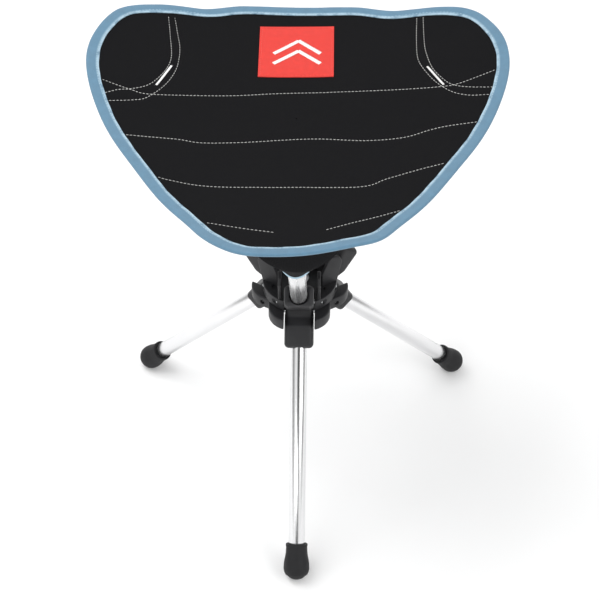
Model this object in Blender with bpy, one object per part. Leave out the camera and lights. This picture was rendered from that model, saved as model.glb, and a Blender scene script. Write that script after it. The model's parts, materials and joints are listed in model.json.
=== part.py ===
"""Three-legged swivel camp stool: folding tube legs and arms on two plastic hubs, with a sling seat.

The frame's Z axis is up and the feet stand on Z = 0. The swivel axis is vertical. One leg and one
arm point along -Y, and the others stand 120 degrees to each side of them.
"""
from math import atan2, cos, hypot, pi, radians, sin, sqrt

import bmesh
import bpy
from mathutils import Matrix, Vector

MM = 0.001

# Limbs: a tube in a plastic socket that swings on a pin.
SIDES = {"front": radians(-90), "left": radians(150), "right": radians(30)}
TUBE_R = 8.0 * MM
TUBE_WALL = 1.2 * MM
TUBE_START = 10.0 * MM
SOCKET_HALF_WIDTH = 14.3 * MM
SOCKET_HALF_DEPTH = 10.5 * MM
SOCKET_BEVEL = 2.5 * MM
KNUCKLE_R = 6.4 * MM
KNUCKLE_REACH = 6.0 * MM
SHOULDER_REACH = 14.0 * MM
PIN_R = 2.2 * MM
GAP = 0.3 * MM
OVERCUT = 5.0 * MM

# Legs, from the pin in the lower hub down to the centre of the foot's ball.
LEG_PIN = (24.9 * MM, 206.0 * MM)
FOOT = (190.7 * MM, 12.2 * MM)
LEG_SOCKET_LENGTH = 36.5 * MM
LEG_PIN_HALF = 27.5 * MM
CAP_BALL_R = 12.8 * MM
CAP_RIM_R = 10.8 * MM
CAP_SLEEVE = 24.0 * MM
CAP_FLOOR = 2.0 * MM

# Arms, from the pin in the upper hub up to the tip under the seat's corner.
ARM_PIN = (27.0 * MM, 220.8 * MM)
ARM_TIP_RADIUS = 191.0 * MM
ARM_ANGLE = radians(52.0)
ARM_SOCKET_LENGTH = 40.0 * MM
ARM_PIN_HALF = 22.5 * MM
TIP_PLUG_R = 8.8 * MM
TIP_PLUG_LENGTH = 16.0 * MM
TIP_DOME = 3.0 * MM
TIP_FLOOR = 3.0 * MM
# The tip's rounded end, from its side to its middle, as (share of the radius, beyond the arm's end).
TIP_END = ((1.0, -1.0 * MM), (0.8, 1.4 * MM), (0.0, TIP_DOME))

# Hubs: thick plates with a slot for each socket.
SLOT_HALF_WIDTH = 16.6 * MM
LEG_HUB_Z = (199.6 * MM, 212.6 * MM)
LEG_HUB_SLOT_FLOOR = 17.7 * MM
LOBE_HALF_WIDTH = 30.3 * MM
LOBE_END = 47.0 * MM
LOBE_CORNER_R = 22.0 * MM
ARM_HUB_Z = (214.2 * MM, 226.2 * MM)
ARM_HUB_SLOT_FLOOR = 19.8 * MM
ARM_HUB_R = 36.5 * MM
HUB_EDGE = 1.2 * MM
# Cheeks that stand on the upper hub beside each slot and guide the arm: (out, up), rising with the arm.
CHEEK_OUTLINE = ((13.5 * MM, 217.0 * MM), (27.5 * MM, 217.0 * MM), (31.0 * MM, 228.0 * MM),
                 (36.0 * MM, 250.0 * MM), (33.0 * MM, 257.0 * MM), (24.0 * MM, 259.0 * MM),
                 (20.0 * MM, 254.0 * MM), (13.5 * MM, 240.0 * MM))
CHEEK_SIDES = (17.0 * MM, 20.6 * MM)

# The swivel bolt and what is on it.
BOLT_R = 4.0 * MM
BOLT_HEAD_R = 6.5 * MM
BOLT_HEAD_HEIGHT = 5.0 * MM
BOLT_HEAD_SIDE = 0.6
BOLT_HEAD_TOP = 0.7
WASHER_R = 9.0 * MM
WASHER_THICKNESS = 1.0 * MM
SWIVEL_WASHER_R = 14.0 * MM
NUT_ACROSS_FLATS = 13.0 * MM
NUT_HEIGHT = 7.5 * MM
BOLT_TAIL = 2.0 * MM

# Seat: a sling whose edge swings out and up to each arm and in and down between them.
EDGE_RADIUS = (184.6 * MM, 24.5 * MM, 3.4 * MM, 0.9 * MM)
EDGE_HEIGHT = (441.0 * MM, 8.0 * MM, 2.0 * MM)
SEAT_CENTRE_HEIGHT = 425.0 * MM
SEAT_DISH = 2.0
SEAT_THICKNESS = 2.4 * MM
SEAT_STEPS = 72
SEAT_RINGS = (0.0, 0.22, 0.42, 0.6, 0.76, 0.9, 1.0)
BINDING_WIDTH = 12.0 * MM
BINDING_HALF_HEIGHT = 2.3 * MM
BINDING_FOLD = 2.2 * MM
LABEL_CENTRE = (-1.5 * MM, 97.5 * MM)
LABEL_HALF = (35.0 * MM, 37.0 * MM)
LABEL_THICKNESS = 0.8 * MM
LABEL_CELLS = (6, 5)

# Pockets that hold the arms' tips: a gutter of cloth from a mouth round the arm to the seat's edge.
POCKET_THICKNESS = 1.5 * MM
POCKET_CLEARANCE = 0.7 * MM
POCKET_STEPS = 12
POCKET_MOUTH = 32.0 * MM
POCKET_MOUTH_HALF = 27.0 * MM
POCKET_MOUTH_OUT = 151.0 * MM
POCKET_END_TURN = radians(12.7)
POCKET_EDGE_INSET = 14.0 * MM
# Rows of a pocket below its hem: (share of the way from the mouth's width to the hem's, back from the
# arm's end).
POCKET_ROWS = ((0.0, POCKET_MOUTH), (0.4, 16.0 * MM), (0.75, 2.0 * MM))
POCKET_ROUND = 1.6

ROUND_STEPS = 24
HOLE_STEPS = 16


def edge_radius(turn):
    """Distance of the seat's edge from the swivel axis, at a turn from an arm's direction."""
    mean, *waves = EDGE_RADIUS
    return mean + sum(wave * cos(3 * (i + 1) * turn) for i, wave in enumerate(waves))


def edge_height(turn):
    mean, *waves = EDGE_HEIGHT
    return mean + sum(wave * cos(3 * (i + 1) * turn) for i, wave in enumerate(waves))


def seat_height(x, y):
    """Height of the sling's middle surface over a point, measured from the swivel axis."""
    turn = atan2(y, x) - SIDES["front"]
    out = hypot(x, y) / edge_radius(turn)
    return SEAT_CENTRE_HEIGHT + (edge_height(turn) - SEAT_CENTRE_HEIGHT) * out**SEAT_DISH


# The swivel axis stands forward or back of the middle of the stool's outline by this much.
AXIS_Y = (edge_radius(0) - edge_radius(pi)) / 2

LEG_ANGLE = atan2(LEG_PIN[1] - FOOT[1], FOOT[0] - LEG_PIN[0])
LEG_LENGTH = hypot(LEG_PIN[1] - FOOT[1], FOOT[0] - LEG_PIN[0])
ARM_LENGTH = (ARM_TIP_RADIUS - ARM_PIN[0]) / cos(ARM_ANGLE)


def clear_scene():
    for obj in list(bpy.data.objects):
        bpy.data.objects.remove(obj, do_unlink=True)


def make_material(name, colour, roughness, metallic=0.0):
    material = bpy.data.materials.new(name)
    material.use_nodes = True
    shader = material.node_tree.nodes["Principled BSDF"]
    shader.inputs["Base Color"].default_value = (*colour, 1.0)
    shader.inputs["Roughness"].default_value = roughness
    shader.inputs["Metallic"].default_value = metallic
    material.diffuse_color = (*colour, 1.0)
    return material


def make_object(name, bm, material, parent=None, smooth=True):
    """Turns a bmesh into an object on its parent's origin."""
    bmesh.ops.recalc_face_normals(bm, faces=bm.faces)
    mesh = bpy.data.meshes.new(name)
    bm.to_mesh(mesh)
    bm.free()
    if smooth:
        mesh.shade_smooth()
        mesh.set_sharp_from_angle(angle=radians(35))
    mesh.materials.append(material)
    obj = bpy.data.objects.new(name, mesh)
    bpy.context.collection.objects.link(obj)
    obj.parent = parent
    return obj


def make_joint(name, matrix, parent=None):
    """An empty on a joint's axis, which carries the pieces that turn with it."""
    empty = bpy.data.objects.new(name, None)
    empty.empty_display_size = 0.03
    bpy.context.collection.objects.link(empty)
    empty.parent = parent
    empty.matrix_local = matrix
    return empty


def cutter(name, bm, parent):
    obj = make_object(name, bm, bpy.data.materials["black_nylon"], parent)
    obj.hide_render = True
    obj.display_type = "WIRE"
    return obj


def cut(obj, tool, operation="DIFFERENCE"):
    boolean = obj.modifiers.new(tool.name, "BOOLEAN")
    boolean.operation = operation
    boolean.solver = "EXACT"
    boolean.object = tool


def bevel(obj, width, segments=2):
    modifier = obj.modifiers.new("rounded_edges", "BEVEL")
    modifier.width = width
    modifier.segments = segments
    modifier.limit_method = "ANGLE"
    modifier.angle_limit = radians(40)


def turned(profile, steps=ROUND_STEPS):
    """A solid turned about local Z from (radius, height) points; a radius of 0 closes it on the axis."""
    bm = bmesh.new()
    rings = []
    for radius, height in profile:
        if radius == 0:
            rings.append([bm.verts.new((0, 0, height))])
            continue
        turns = [2 * pi * step / steps for step in range(steps)]
        rings.append([bm.verts.new((radius * cos(a), radius * sin(a), height)) for a in turns])
    closed = all(radius for radius, _ in profile)
    pairs = list(zip(rings, rings[1:] + rings[:1] if closed else rings[1:]))
    for low, high in pairs:
        for i in range(steps):
            j = (i + 1) % steps
            corners = [low[i % len(low)], low[j % len(low)], high[j % len(high)], high[i % len(high)]]
            bm.faces.new(list(dict.fromkeys(corners)))
    return bm


def along_x(bm, start=0.0):
    """Turns a shape that was made along Z so that it runs along X from a start."""
    bmesh.ops.transform(bm, matrix=Matrix.Translation((start, 0, 0)) @ Matrix.Rotation(pi / 2, 4, "Y"),
                        verts=bm.verts)
    return bm


def along_y(bm):
    bmesh.ops.transform(bm, matrix=Matrix.Rotation(-pi / 2, 4, "X"), verts=bm.verts)
    return bm


def rod(radius, low, high, steps=ROUND_STEPS):
    return turned([(0, low), (radius, low), (radius, high), (0, high)], steps)


def pipe(outer, inner, low, high, steps=ROUND_STEPS):
    return turned([(inner, low), (outer, low), (outer, high), (inner, high)], steps)


def extruded(outline, low, high):
    """A closed outline of (x, y) points made a plate from a low to a high Z."""
    bm = bmesh.new()
    face = bm.faces.new([bm.verts.new((x, y, low)) for x, y in outline])
    raised = bmesh.ops.extrude_face_region(bm, geom=[face])["geom"]
    moved = [item for item in raised if isinstance(item, bmesh.types.BMVert)]
    bmesh.ops.translate(bm, verts=moved, vec=(0, 0, high - low))
    return bm


def arc(centre, radius, start, end, steps):
    turns = [start + (end - start) * i / steps for i in range(steps + 1)]
    return [(centre[0] + radius * cos(a), centre[1] + radius * sin(a)) for a in turns]


def repeated_outline(half):
    """Mirrors half a lobe's outline, given from its slot outwards, and turns it to the three sides."""
    lobe = [(x, -y) for x, y in reversed(half)] + half
    outline = []
    for side in sorted(SIDES.values()):
        for x, y in lobe:
            outline.append((x * cos(side) - y * sin(side), x * sin(side) + y * cos(side)))
    clean = []
    for point in outline:
        if not clean or hypot(point[0] - clean[-1][0], point[1] - clean[-1][1]) > 1e-6:
            clean.append(point)
    if hypot(clean[0][0] - clean[-1][0], clean[0][1] - clean[-1][1]) < 1e-6:
        clean.pop()
    return clean


def leg_hub_outline():
    """Three lobes with straight sides and wide round corners, each split by a slot."""
    corner = (LOBE_END - LOBE_CORNER_R, LOBE_HALF_WIDTH - LOBE_CORNER_R)
    rise = SLOT_HALF_WIDTH - corner[1]
    start = atan2(rise, sqrt(LOBE_CORNER_R**2 - rise**2))
    half = [(LEG_HUB_SLOT_FLOOR, SLOT_HALF_WIDTH)]
    half += arc(corner, LOBE_CORNER_R, start, pi / 2, 6)
    half.append((LOBE_HALF_WIDTH / sqrt(3), LOBE_HALF_WIDTH))
    return repeated_outline(half)


def arm_hub_outline():
    """A round plate, split by a slot for each arm."""
    start = atan2(SLOT_HALF_WIDTH, sqrt(ARM_HUB_R**2 - SLOT_HALF_WIDTH**2))
    half = [(ARM_HUB_SLOT_FLOOR, SLOT_HALF_WIDTH)] + arc((0, 0), ARM_HUB_R, start, pi / 3, 5)
    return repeated_outline(half)


def add_cheeks(hub, parent):
    """Joins the two cheeks of each slot to the upper hub."""
    upright = Matrix.Rotation(pi / 2, 4, "X")
    near, far = CHEEK_SIDES
    for side, turn in SIDES.items():
        for hand, (low, high) in (("a", (near, far)), ("b", (-far, -near))):
            bm = extruded(CHEEK_OUTLINE, low, high)
            bmesh.ops.transform(bm, matrix=Matrix.Rotation(turn, 4, "Z") @ upright, verts=bm.verts)
            cheek = cutter(f"cheek_{side}_{hand}", bm, parent)
            bevel(cheek, HUB_EDGE)
            cut(hub, cheek, "UNION")


def add_hub(name, outline, heights, pin, pin_half, parent, material, cheeks=False):
    """A slotted plate with its bore for the bolt and its holes for the pins."""
    hub = make_object(name, extruded(outline, *heights), material, parent)
    bevel(hub, HUB_EDGE)
    if cheeks:
        add_cheeks(hub, parent)
    low, high = heights
    cut(hub, cutter(name + "_bore", rod(BOLT_R + GAP, low - OVERCUT, high + OVERCUT), parent))
    for side, turn in SIDES.items():
        at = Matrix.Rotation(turn, 4, "Z") @ Matrix.Translation((pin[0], 0, pin[1]))
        hole = along_y(rod(PIN_R + GAP, -pin_half - 2 * OVERCUT, pin_half + 2 * OVERCUT, HOLE_STEPS))
        bmesh.ops.transform(hole, matrix=at, verts=hole.verts)
        cut(hub, cutter(f"{name}_{side}_hole", hole, parent))
    return hub


def socket_profile(length):
    """Side view of a socket: a round knuckle on the pin, shoulders, and a straight sleeve."""
    knuckle = arc((0, 0), KNUCKLE_R, pi / 2, 3 * pi / 2, 10)
    sleeve = [(KNUCKLE_REACH, -KNUCKLE_R), (SHOULDER_REACH, -SOCKET_HALF_DEPTH),
              (length, -SOCKET_HALF_DEPTH), (length, SOCKET_HALF_DEPTH),
              (SHOULDER_REACH, SOCKET_HALF_DEPTH), (KNUCKLE_REACH, KNUCKLE_R)]
    return knuckle + sleeve


def add_socket(name, length, joint, material):
    bm = extruded(socket_profile(length), -SOCKET_HALF_WIDTH, SOCKET_HALF_WIDTH)
    bmesh.ops.transform(bm, matrix=Matrix.Rotation(pi / 2, 4, "X"), verts=bm.verts)
    socket = make_object(name, bm, material, joint)
    bevel(socket, SOCKET_BEVEL)
    bore = along_x(rod(TUBE_R + GAP, 0, length), TUBE_START - GAP)
    cut(socket, cutter(name + "_bore", bore, joint))
    reach = SOCKET_HALF_WIDTH + OVERCUT
    cut(socket, cutter(name + "_hole", along_y(rod(PIN_R + GAP, -reach, reach, HOLE_STEPS)), joint))
    return socket


def add_pin(name, pin, half, turn, parent, material):
    """A plain steel pin across a hub's slot, with its ends inside the hub."""
    at = Matrix.Rotation(turn, 4, "Z") @ Matrix.Translation((pin[0], 0, pin[1]))
    obj = make_object(name, along_y(rod(PIN_R, -half, half, HOLE_STEPS)), material, parent)
    obj.matrix_local = at
    return obj


def add_foot_cap(name, joint, material):
    """A blunt rubber cap with a small flat sole that lies on the floor when the leg is spread."""
    dome = [(CAP_BALL_R * cos(a), CAP_BALL_R * sin(a)) for a in (i * pi / 12 for i in range(6))]
    inner = TUBE_R + GAP
    profile = [(0, -CAP_FLOOR), (inner, -CAP_FLOOR), (inner, -CAP_SLEEVE), (CAP_RIM_R, -CAP_SLEEVE)]
    profile += dome + [(0, CAP_BALL_R)]
    bm = along_x(turned(profile), LEG_LENGTH)
    down = Matrix.Rotation(-LEG_ANGLE, 3, "Y") @ Vector((0, 0, -1))
    sole = Vector((LEG_LENGTH, 0, 0)) + down * FOOT[1]
    everything = bm.verts[:] + bm.edges[:] + bm.faces[:]
    bmesh.ops.bisect_plane(bm, geom=everything, plane_co=sole, plane_no=down, clear_outer=True)
    bmesh.ops.holes_fill(bm, edges=[edge for edge in bm.edges if edge.is_boundary])
    return make_object(name, bm, material, joint)


def add_tip_plug(name, joint, material):
    """A domed plug with a skirt over the tube's end, so that the tube can't wear through the cloth."""
    low, high = ARM_LENGTH - TIP_PLUG_LENGTH, ARM_LENGTH
    inner = TUBE_R + GAP
    profile = [(0, high - TIP_FLOOR), (inner, high - TIP_FLOOR), (inner, low), (TIP_PLUG_R, low)]
    profile += [(TIP_PLUG_R * share, high + beyond) for share, beyond in TIP_END]
    return make_object(name, along_x(turned(profile)), material, joint)


def add_leg(side, turn, root, materials):
    at = Matrix.Rotation(turn, 4, "Z") @ Matrix.Translation((LEG_PIN[0], 0, LEG_PIN[1]))
    joint = make_joint(f"leg_fold_{side}", at @ Matrix.Rotation(LEG_ANGLE, 4, "Y"), root)
    add_pin(f"leg_pin_{side}", LEG_PIN, LEG_PIN_HALF, turn, root, materials["steel"])
    add_socket(f"leg_socket_{side}", LEG_SOCKET_LENGTH, joint, materials["nylon"])
    end = LEG_LENGTH - CAP_FLOOR - GAP
    tube = pipe(TUBE_R, TUBE_R - TUBE_WALL, 0, end - TUBE_START)
    make_object(f"leg_tube_{side}", along_x(tube, TUBE_START), materials["aluminium"], joint)
    add_foot_cap(f"foot_cap_{side}", joint, materials["rubber"])


def add_arm(side, turn, swivel, materials):
    at = Matrix.Rotation(turn, 4, "Z") @ Matrix.Translation((ARM_PIN[0], 0, ARM_PIN[1]))
    place = at @ Matrix.Rotation(-ARM_ANGLE, 4, "Y")
    joint = make_joint(f"arm_fold_{side}", place, swivel)
    add_pin(f"arm_pin_{side}", ARM_PIN, ARM_PIN_HALF, turn, swivel, materials["steel"])
    add_socket(f"arm_socket_{side}", ARM_SOCKET_LENGTH, joint, materials["nylon"])
    end = ARM_LENGTH - TIP_FLOOR - GAP
    tube = pipe(TUBE_R, TUBE_R - TUBE_WALL, 0, end - TUBE_START)
    make_object(f"arm_tube_{side}", along_x(tube, TUBE_START), materials["aluminium"], joint)
    add_tip_plug(f"arm_tip_{side}", joint, materials["nylon"])
    from_axis = place.inverted() @ Matrix.Rotation(turn - SIDES["front"], 4, "Z")
    add_pocket(f"seat_pocket_{side}", from_axis, joint, materials["cloth"])


def add_swivel_bolt(root, materials):
    """The bolt runs down through both hubs, with a washer under its head, between them and at its nut."""
    head = ARM_HUB_Z[1] + 2 * GAP + WASHER_THICKNESS
    nut_top = LEG_HUB_Z[0] - 2 * GAP - WASHER_THICKNESS
    tail = nut_top - NUT_HEIGHT - BOLT_TAIL
    profile = [(0, tail), (BOLT_R, tail), (BOLT_R, head), (BOLT_HEAD_R, head),
               (BOLT_HEAD_R, head + BOLT_HEAD_SIDE * BOLT_HEAD_HEIGHT),
               (BOLT_HEAD_TOP * BOLT_HEAD_R, head + BOLT_HEAD_HEIGHT), (0, head + BOLT_HEAD_HEIGHT)]
    make_object("swivel_bolt", turned(profile), materials["steel"], root)
    hole = BOLT_R + GAP
    top = ARM_HUB_Z[1] + GAP
    make_object("bolt_washer", pipe(WASHER_R, hole, top, top + WASHER_THICKNESS), materials["steel"], root)
    middle = LEG_HUB_Z[1] + GAP
    spacer = pipe(SWIVEL_WASHER_R, hole, middle, middle + WASHER_THICKNESS)
    make_object("swivel_washer", spacer, materials["acetal"], root)
    low = nut_top + GAP
    make_object("nut_washer", pipe(WASHER_R, hole, low, low + WASHER_THICKNESS), materials["steel"], root)
    nut = make_object("lock_nut", rod(NUT_ACROSS_FLATS / sqrt(3), nut_top - NUT_HEIGHT, nut_top, 6),
                      materials["steel"], root, smooth=False)
    cut(nut, cutter("lock_nut_bore", rod(hole, tail - OVERCUT, nut_top + OVERCUT), root))


def seat_point(turn, radius, lift):
    x, y = radius * cos(turn), radius * sin(turn)
    return (x, y, seat_height(x, y) + lift)


def add_seat_panel(parent, material):
    """The sling's cloth: a dished sheet that ends inside its edge binding."""
    bm = bmesh.new()
    layers = []
    turns = [SIDES["front"] + 2 * pi * step / SEAT_STEPS for step in range(SEAT_STEPS)]
    for lift in (-SEAT_THICKNESS / 2, SEAT_THICKNESS / 2):
        rings = [[bm.verts.new(seat_point(0, 0, lift))]]
        for share in SEAT_RINGS[1:]:
            ring = []
            for turn in turns:
                edge = edge_radius(turn - SIDES["front"]) - BINDING_FOLD - GAP
                ring.append(bm.verts.new(seat_point(turn, edge * share, lift)))
            rings.append(ring)
        layers.append(rings)
    for rings in layers:
        for low, high in zip(rings, rings[1:]):
            for i in range(SEAT_STEPS):
                j = (i + 1) % SEAT_STEPS
                corners = [low[i % len(low)], low[j % len(low)], high[j], high[i]]
                bm.faces.new(list(dict.fromkeys(corners)))
    for i in range(SEAT_STEPS):
        j = (i + 1) % SEAT_STEPS
        bm.faces.new([layers[0][-1][i], layers[0][-1][j], layers[1][-1][j], layers[1][-1][i]])
    return make_object("seat_panel", bm, material, parent)


def add_seat_binding(parent, material):
    """Tape folded over the cloth's edge all round: a channel section that opens inwards."""
    groove = SEAT_THICKNESS / 2 + GAP
    section = [(0, -BINDING_HALF_HEIGHT), (0, BINDING_HALF_HEIGHT), (BINDING_WIDTH, BINDING_HALF_HEIGHT),
               (BINDING_WIDTH, groove), (BINDING_FOLD, groove), (BINDING_FOLD, -groove),
               (BINDING_WIDTH, -groove), (BINDING_WIDTH, -BINDING_HALF_HEIGHT)]
    bm = bmesh.new()
    rings = []
    for step in range(SEAT_STEPS):
        turn = SIDES["front"] + 2 * pi * step / SEAT_STEPS
        edge = edge_radius(turn - SIDES["front"])
        rings.append([bm.verts.new(seat_point(turn, edge - inset, lift)) for inset, lift in section])
    for low, high in zip(rings, rings[1:] + rings[:1]):
        for i in range(len(section)):
            j = (i + 1) % len(section)
            bm.faces.new([low[i], low[j], high[j], high[i]])
    return make_object("seat_binding", bm, material, parent)


def sheet(points_below, points_above):
    """A closed slab between two grids of the same size."""
    bm = bmesh.new()
    low, high = [[[bm.verts.new(p) for p in row] for row in grid] for grid in (points_below, points_above)]
    rows, columns = len(low), len(low[0])
    for i in range(rows - 1):
        for j in range(columns - 1):
            for grid in (low, high):
                bm.faces.new([grid[i][j], grid[i + 1][j], grid[i + 1][j + 1], grid[i][j + 1]])
    rim = [(0, j) for j in range(columns)] + [(i, columns - 1) for i in range(1, rows)]
    rim += [(rows - 1, j) for j in range(columns - 2, -1, -1)] + [(i, 0) for i in range(rows - 2, 0, -1)]
    for (i, j), (k, m) in zip(rim, rim[1:] + rim[:1]):
        bm.faces.new([low[i][j], low[k][m], high[k][m], high[i][j]])
    return bm


def add_label(parent, material):
    """A sewn patch near the seat's rear edge."""
    grids = []
    for lift in (SEAT_THICKNESS / 2 + GAP, SEAT_THICKNESS / 2 + GAP + LABEL_THICKNESS):
        grid = []
        for i in range(LABEL_CELLS[0] + 1):
            x = LABEL_CENTRE[0] + LABEL_HALF[0] * (2 * i / LABEL_CELLS[0] - 1)
            row = []
            for j in range(LABEL_CELLS[1] + 1):
                y = LABEL_CENTRE[1] + LABEL_HALF[1] * (2 * j / LABEL_CELLS[1] - 1)
                row.append((x, y, seat_height(x, y) + lift))
            grid.append(row)
        grids.append(grid)
    return make_object("seat_label", sheet(*grids), material, parent)


def pocket_rows():
    """Points of a pocket's inner face beside the front arm: (across, out, up) from the swivel axis.

    The first row is the mouth, a loop that hangs from the sling under the arm. The next two follow
    the arm's underside, and the last lies close under the sling near its edge.
    """
    ease = TIP_PLUG_R + POCKET_CLEARANCE
    under = SEAT_THICKNESS / 2 + GAP + POCKET_THICKNESS
    hem = []
    for step in range(POCKET_STEPS + 1):
        turn = POCKET_END_TURN * (2 * step / POCKET_STEPS - 1)
        radius = edge_radius(turn) - POCKET_EDGE_INSET
        x, y = radius * sin(turn), -radius * cos(turn)
        hem.append((x, y, seat_height(x, y) - under))
    rows = []
    for part, back in POCKET_ROWS:
        along = ARM_LENGTH - back
        out = ARM_PIN[0] + along * cos(ARM_ANGLE) + ease * sin(ARM_ANGLE)
        up = ARM_PIN[1] + along * sin(ARM_ANGLE) - ease * cos(ARM_ANGLE)
        half = POCKET_MOUTH_HALF + (hem[-1][0] - POCKET_MOUTH_HALF) * part
        side_out = POCKET_MOUTH_OUT + (-hem[-1][1] - POCKET_MOUTH_OUT) * part
        row = []
        for step in range(POCKET_STEPS + 1):
            share = 2 * step / POCKET_STEPS - 1
            x = half * sin(share * pi / 2)
            y = -out - (side_out - out) * share**2
            top = seat_height(x, y) - under
            row.append((x, y, top + (up - top) * cos(share * pi / 2) ** POCKET_ROUND))
        rows.append(row)
    return rows + [hem]


def grid_normal(grid, i, j):
    """Direction square to a grid of points at one of them, pointing down and outwards."""
    low, high = Vector(grid[max(i - 1, 0)][j]), Vector(grid[min(i + 1, len(grid) - 1)][j])
    left, right = Vector(grid[i][max(j - 1, 0)]), Vector(grid[i][min(j + 1, len(grid[0]) - 1)])
    return (right - left).cross(high - low).normalized()


def add_pocket(name, from_axis, joint, material):
    """Cloth pocket under a corner, whose origin is on its arm's joint."""
    inner = pocket_rows()
    outer = [[Vector(point) + grid_normal(inner, i, j) * POCKET_THICKNESS for j, point in enumerate(row)]
             for i, row in enumerate(inner)]
    bm = sheet(outer, inner)
    bmesh.ops.transform(bm, matrix=from_axis, verts=bm.verts)
    return make_object(name, bm, material, joint)


def make_materials():
    return {
        "nylon": make_material("black_nylon", (0.022, 0.022, 0.024), 0.45),
        "rubber": make_material("black_rubber", (0.016, 0.016, 0.017), 0.6),
        "aluminium": make_material("bright_aluminium", (0.78, 0.78, 0.79), 0.22, 1.0),
        "steel": make_material("zinc_plated_steel", (0.6, 0.6, 0.6), 0.35, 1.0),
        "acetal": make_material("natural_acetal", (0.8, 0.79, 0.75), 0.4),
        "cloth": make_material("black_polyester_cloth", (0.02, 0.02, 0.023), 0.9),
        "binding": make_material("blue_binding_tape", (0.16, 0.29, 0.4), 0.85),
        "label": make_material("red_woven_label", (0.83, 0.07, 0.06), 0.7),
    }


def main():
    clear_scene()
    materials = make_materials()
    root = make_joint("stool", Matrix.Translation((0, AXIS_Y, 0)))
    swivel = make_joint("swivel", Matrix.Identity(4), root)
    add_hub("leg_hub", leg_hub_outline(), LEG_HUB_Z, LEG_PIN, LEG_PIN_HALF, root, materials["nylon"])
    add_hub("arm_hub", arm_hub_outline(), ARM_HUB_Z, ARM_PIN, ARM_PIN_HALF, swivel, materials["nylon"],
            cheeks=True)
    add_swivel_bolt(root, materials)
    for side, turn in SIDES.items():
        add_leg(side, turn, root, materials)
        add_arm(side, turn, swivel, materials)
    add_seat_panel(swivel, materials["cloth"])
    add_seat_binding(swivel, materials["binding"])
    add_label(swivel, materials["label"])


main()
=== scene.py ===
"""Finish of a three-legged swivel camp stool: moulded hubs and sockets, bright tubes and a sewn sling.

The swivel axis is vertical. The sling is drawn about that axis, with the front arm along -Y, and is
then set on the frame.
"""

import json
from math import atan2, cos, exp, hypot, pi, radians, sin, sqrt, tan

import bmesh
import bpy
import numpy as np
from bpy.props import FloatProperty, FloatVectorProperty, IntProperty, PointerProperty
from mathutils import Matrix, Vector
from mathutils.kdtree import KDTree

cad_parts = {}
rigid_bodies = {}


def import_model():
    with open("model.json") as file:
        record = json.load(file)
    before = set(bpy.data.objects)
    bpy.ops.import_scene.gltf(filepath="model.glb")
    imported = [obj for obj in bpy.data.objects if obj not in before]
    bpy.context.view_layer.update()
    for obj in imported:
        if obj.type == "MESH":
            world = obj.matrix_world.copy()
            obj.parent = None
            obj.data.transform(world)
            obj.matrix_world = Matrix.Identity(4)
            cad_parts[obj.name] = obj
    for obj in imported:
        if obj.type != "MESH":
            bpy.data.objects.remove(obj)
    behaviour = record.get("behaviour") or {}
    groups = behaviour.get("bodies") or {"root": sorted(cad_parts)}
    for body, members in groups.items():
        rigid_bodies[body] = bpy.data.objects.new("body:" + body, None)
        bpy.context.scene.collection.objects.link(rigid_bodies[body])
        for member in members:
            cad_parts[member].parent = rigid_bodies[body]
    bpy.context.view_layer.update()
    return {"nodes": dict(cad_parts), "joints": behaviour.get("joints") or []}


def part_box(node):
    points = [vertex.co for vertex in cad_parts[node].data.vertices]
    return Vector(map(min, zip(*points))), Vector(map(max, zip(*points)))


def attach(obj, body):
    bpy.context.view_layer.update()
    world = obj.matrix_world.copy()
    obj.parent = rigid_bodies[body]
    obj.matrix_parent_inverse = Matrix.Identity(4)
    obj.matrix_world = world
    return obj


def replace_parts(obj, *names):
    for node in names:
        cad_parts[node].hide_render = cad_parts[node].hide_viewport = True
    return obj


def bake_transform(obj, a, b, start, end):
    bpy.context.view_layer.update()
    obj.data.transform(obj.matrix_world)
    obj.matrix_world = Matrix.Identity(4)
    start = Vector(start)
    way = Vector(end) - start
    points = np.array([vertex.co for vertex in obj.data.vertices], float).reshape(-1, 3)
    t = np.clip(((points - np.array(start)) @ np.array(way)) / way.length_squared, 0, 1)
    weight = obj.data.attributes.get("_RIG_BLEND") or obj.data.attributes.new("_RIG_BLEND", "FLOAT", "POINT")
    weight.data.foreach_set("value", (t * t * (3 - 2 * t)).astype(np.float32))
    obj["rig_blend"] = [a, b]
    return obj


for leftover in list(bpy.data.objects):
    bpy.data.objects.remove(leftover, do_unlink=True)
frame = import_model()

bl_info = {
    "name": "Swivel Camp Stool",
    "version": (1, 0, 0),
    "blender": (4, 5, 0),
    "location": "View3D > Sidebar > Stool",
    "description": "Moulded, drawn and sewn parts of a three-legged camp stool",
    "category": "Object",
}

MM = 0.001
JOINTS = {joint["name"]: joint for joint in frame["joints"]}
AXIS = Vector((JOINTS["seat_swivel"]["pos_m"][0], JOINTS["seat_swivel"]["pos_m"][1], 0))
FRONT = radians(-90)
SIDES = {"front": FRONT, "left": radians(150), "right": radians(30)}
SECTOR = radians(60)
LEG_PIN = (24.9 * MM, 206.0 * MM)
FOOT = (190.7 * MM, 12.2 * MM)
LEG_ANGLE = atan2(LEG_PIN[1] - FOOT[1], FOOT[0] - LEG_PIN[0])
LEG_LENGTH = hypot(LEG_PIN[1] - FOOT[1], FOOT[0] - LEG_PIN[0])
ARM_PIN = (27.0 * MM, 220.8 * MM)
ARM_ANGLE = radians(52)
ARM_FOLD = radians(JOINTS["arm_fold_front"]["range_deg"][1])
ARM_LENGTH = (191.0 * MM - ARM_PIN[0]) / cos(ARM_ANGLE)


def linear(code):
    """Linear red, green and blue of an sRGB hex code."""
    shares = [int(code[i:i + 2], 16) / 255 for i in (1, 3, 5)]
    return tuple(s / 12.92 if s <= 0.04045 else ((s + 0.055) / 1.055) ** 2.4 for s in shares)


def colour_property(name, description, code):
    return FloatVectorProperty(name=name, description=description, subtype="COLOR", size=3,
                               min=0, max=1, default=linear(code))


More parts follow.
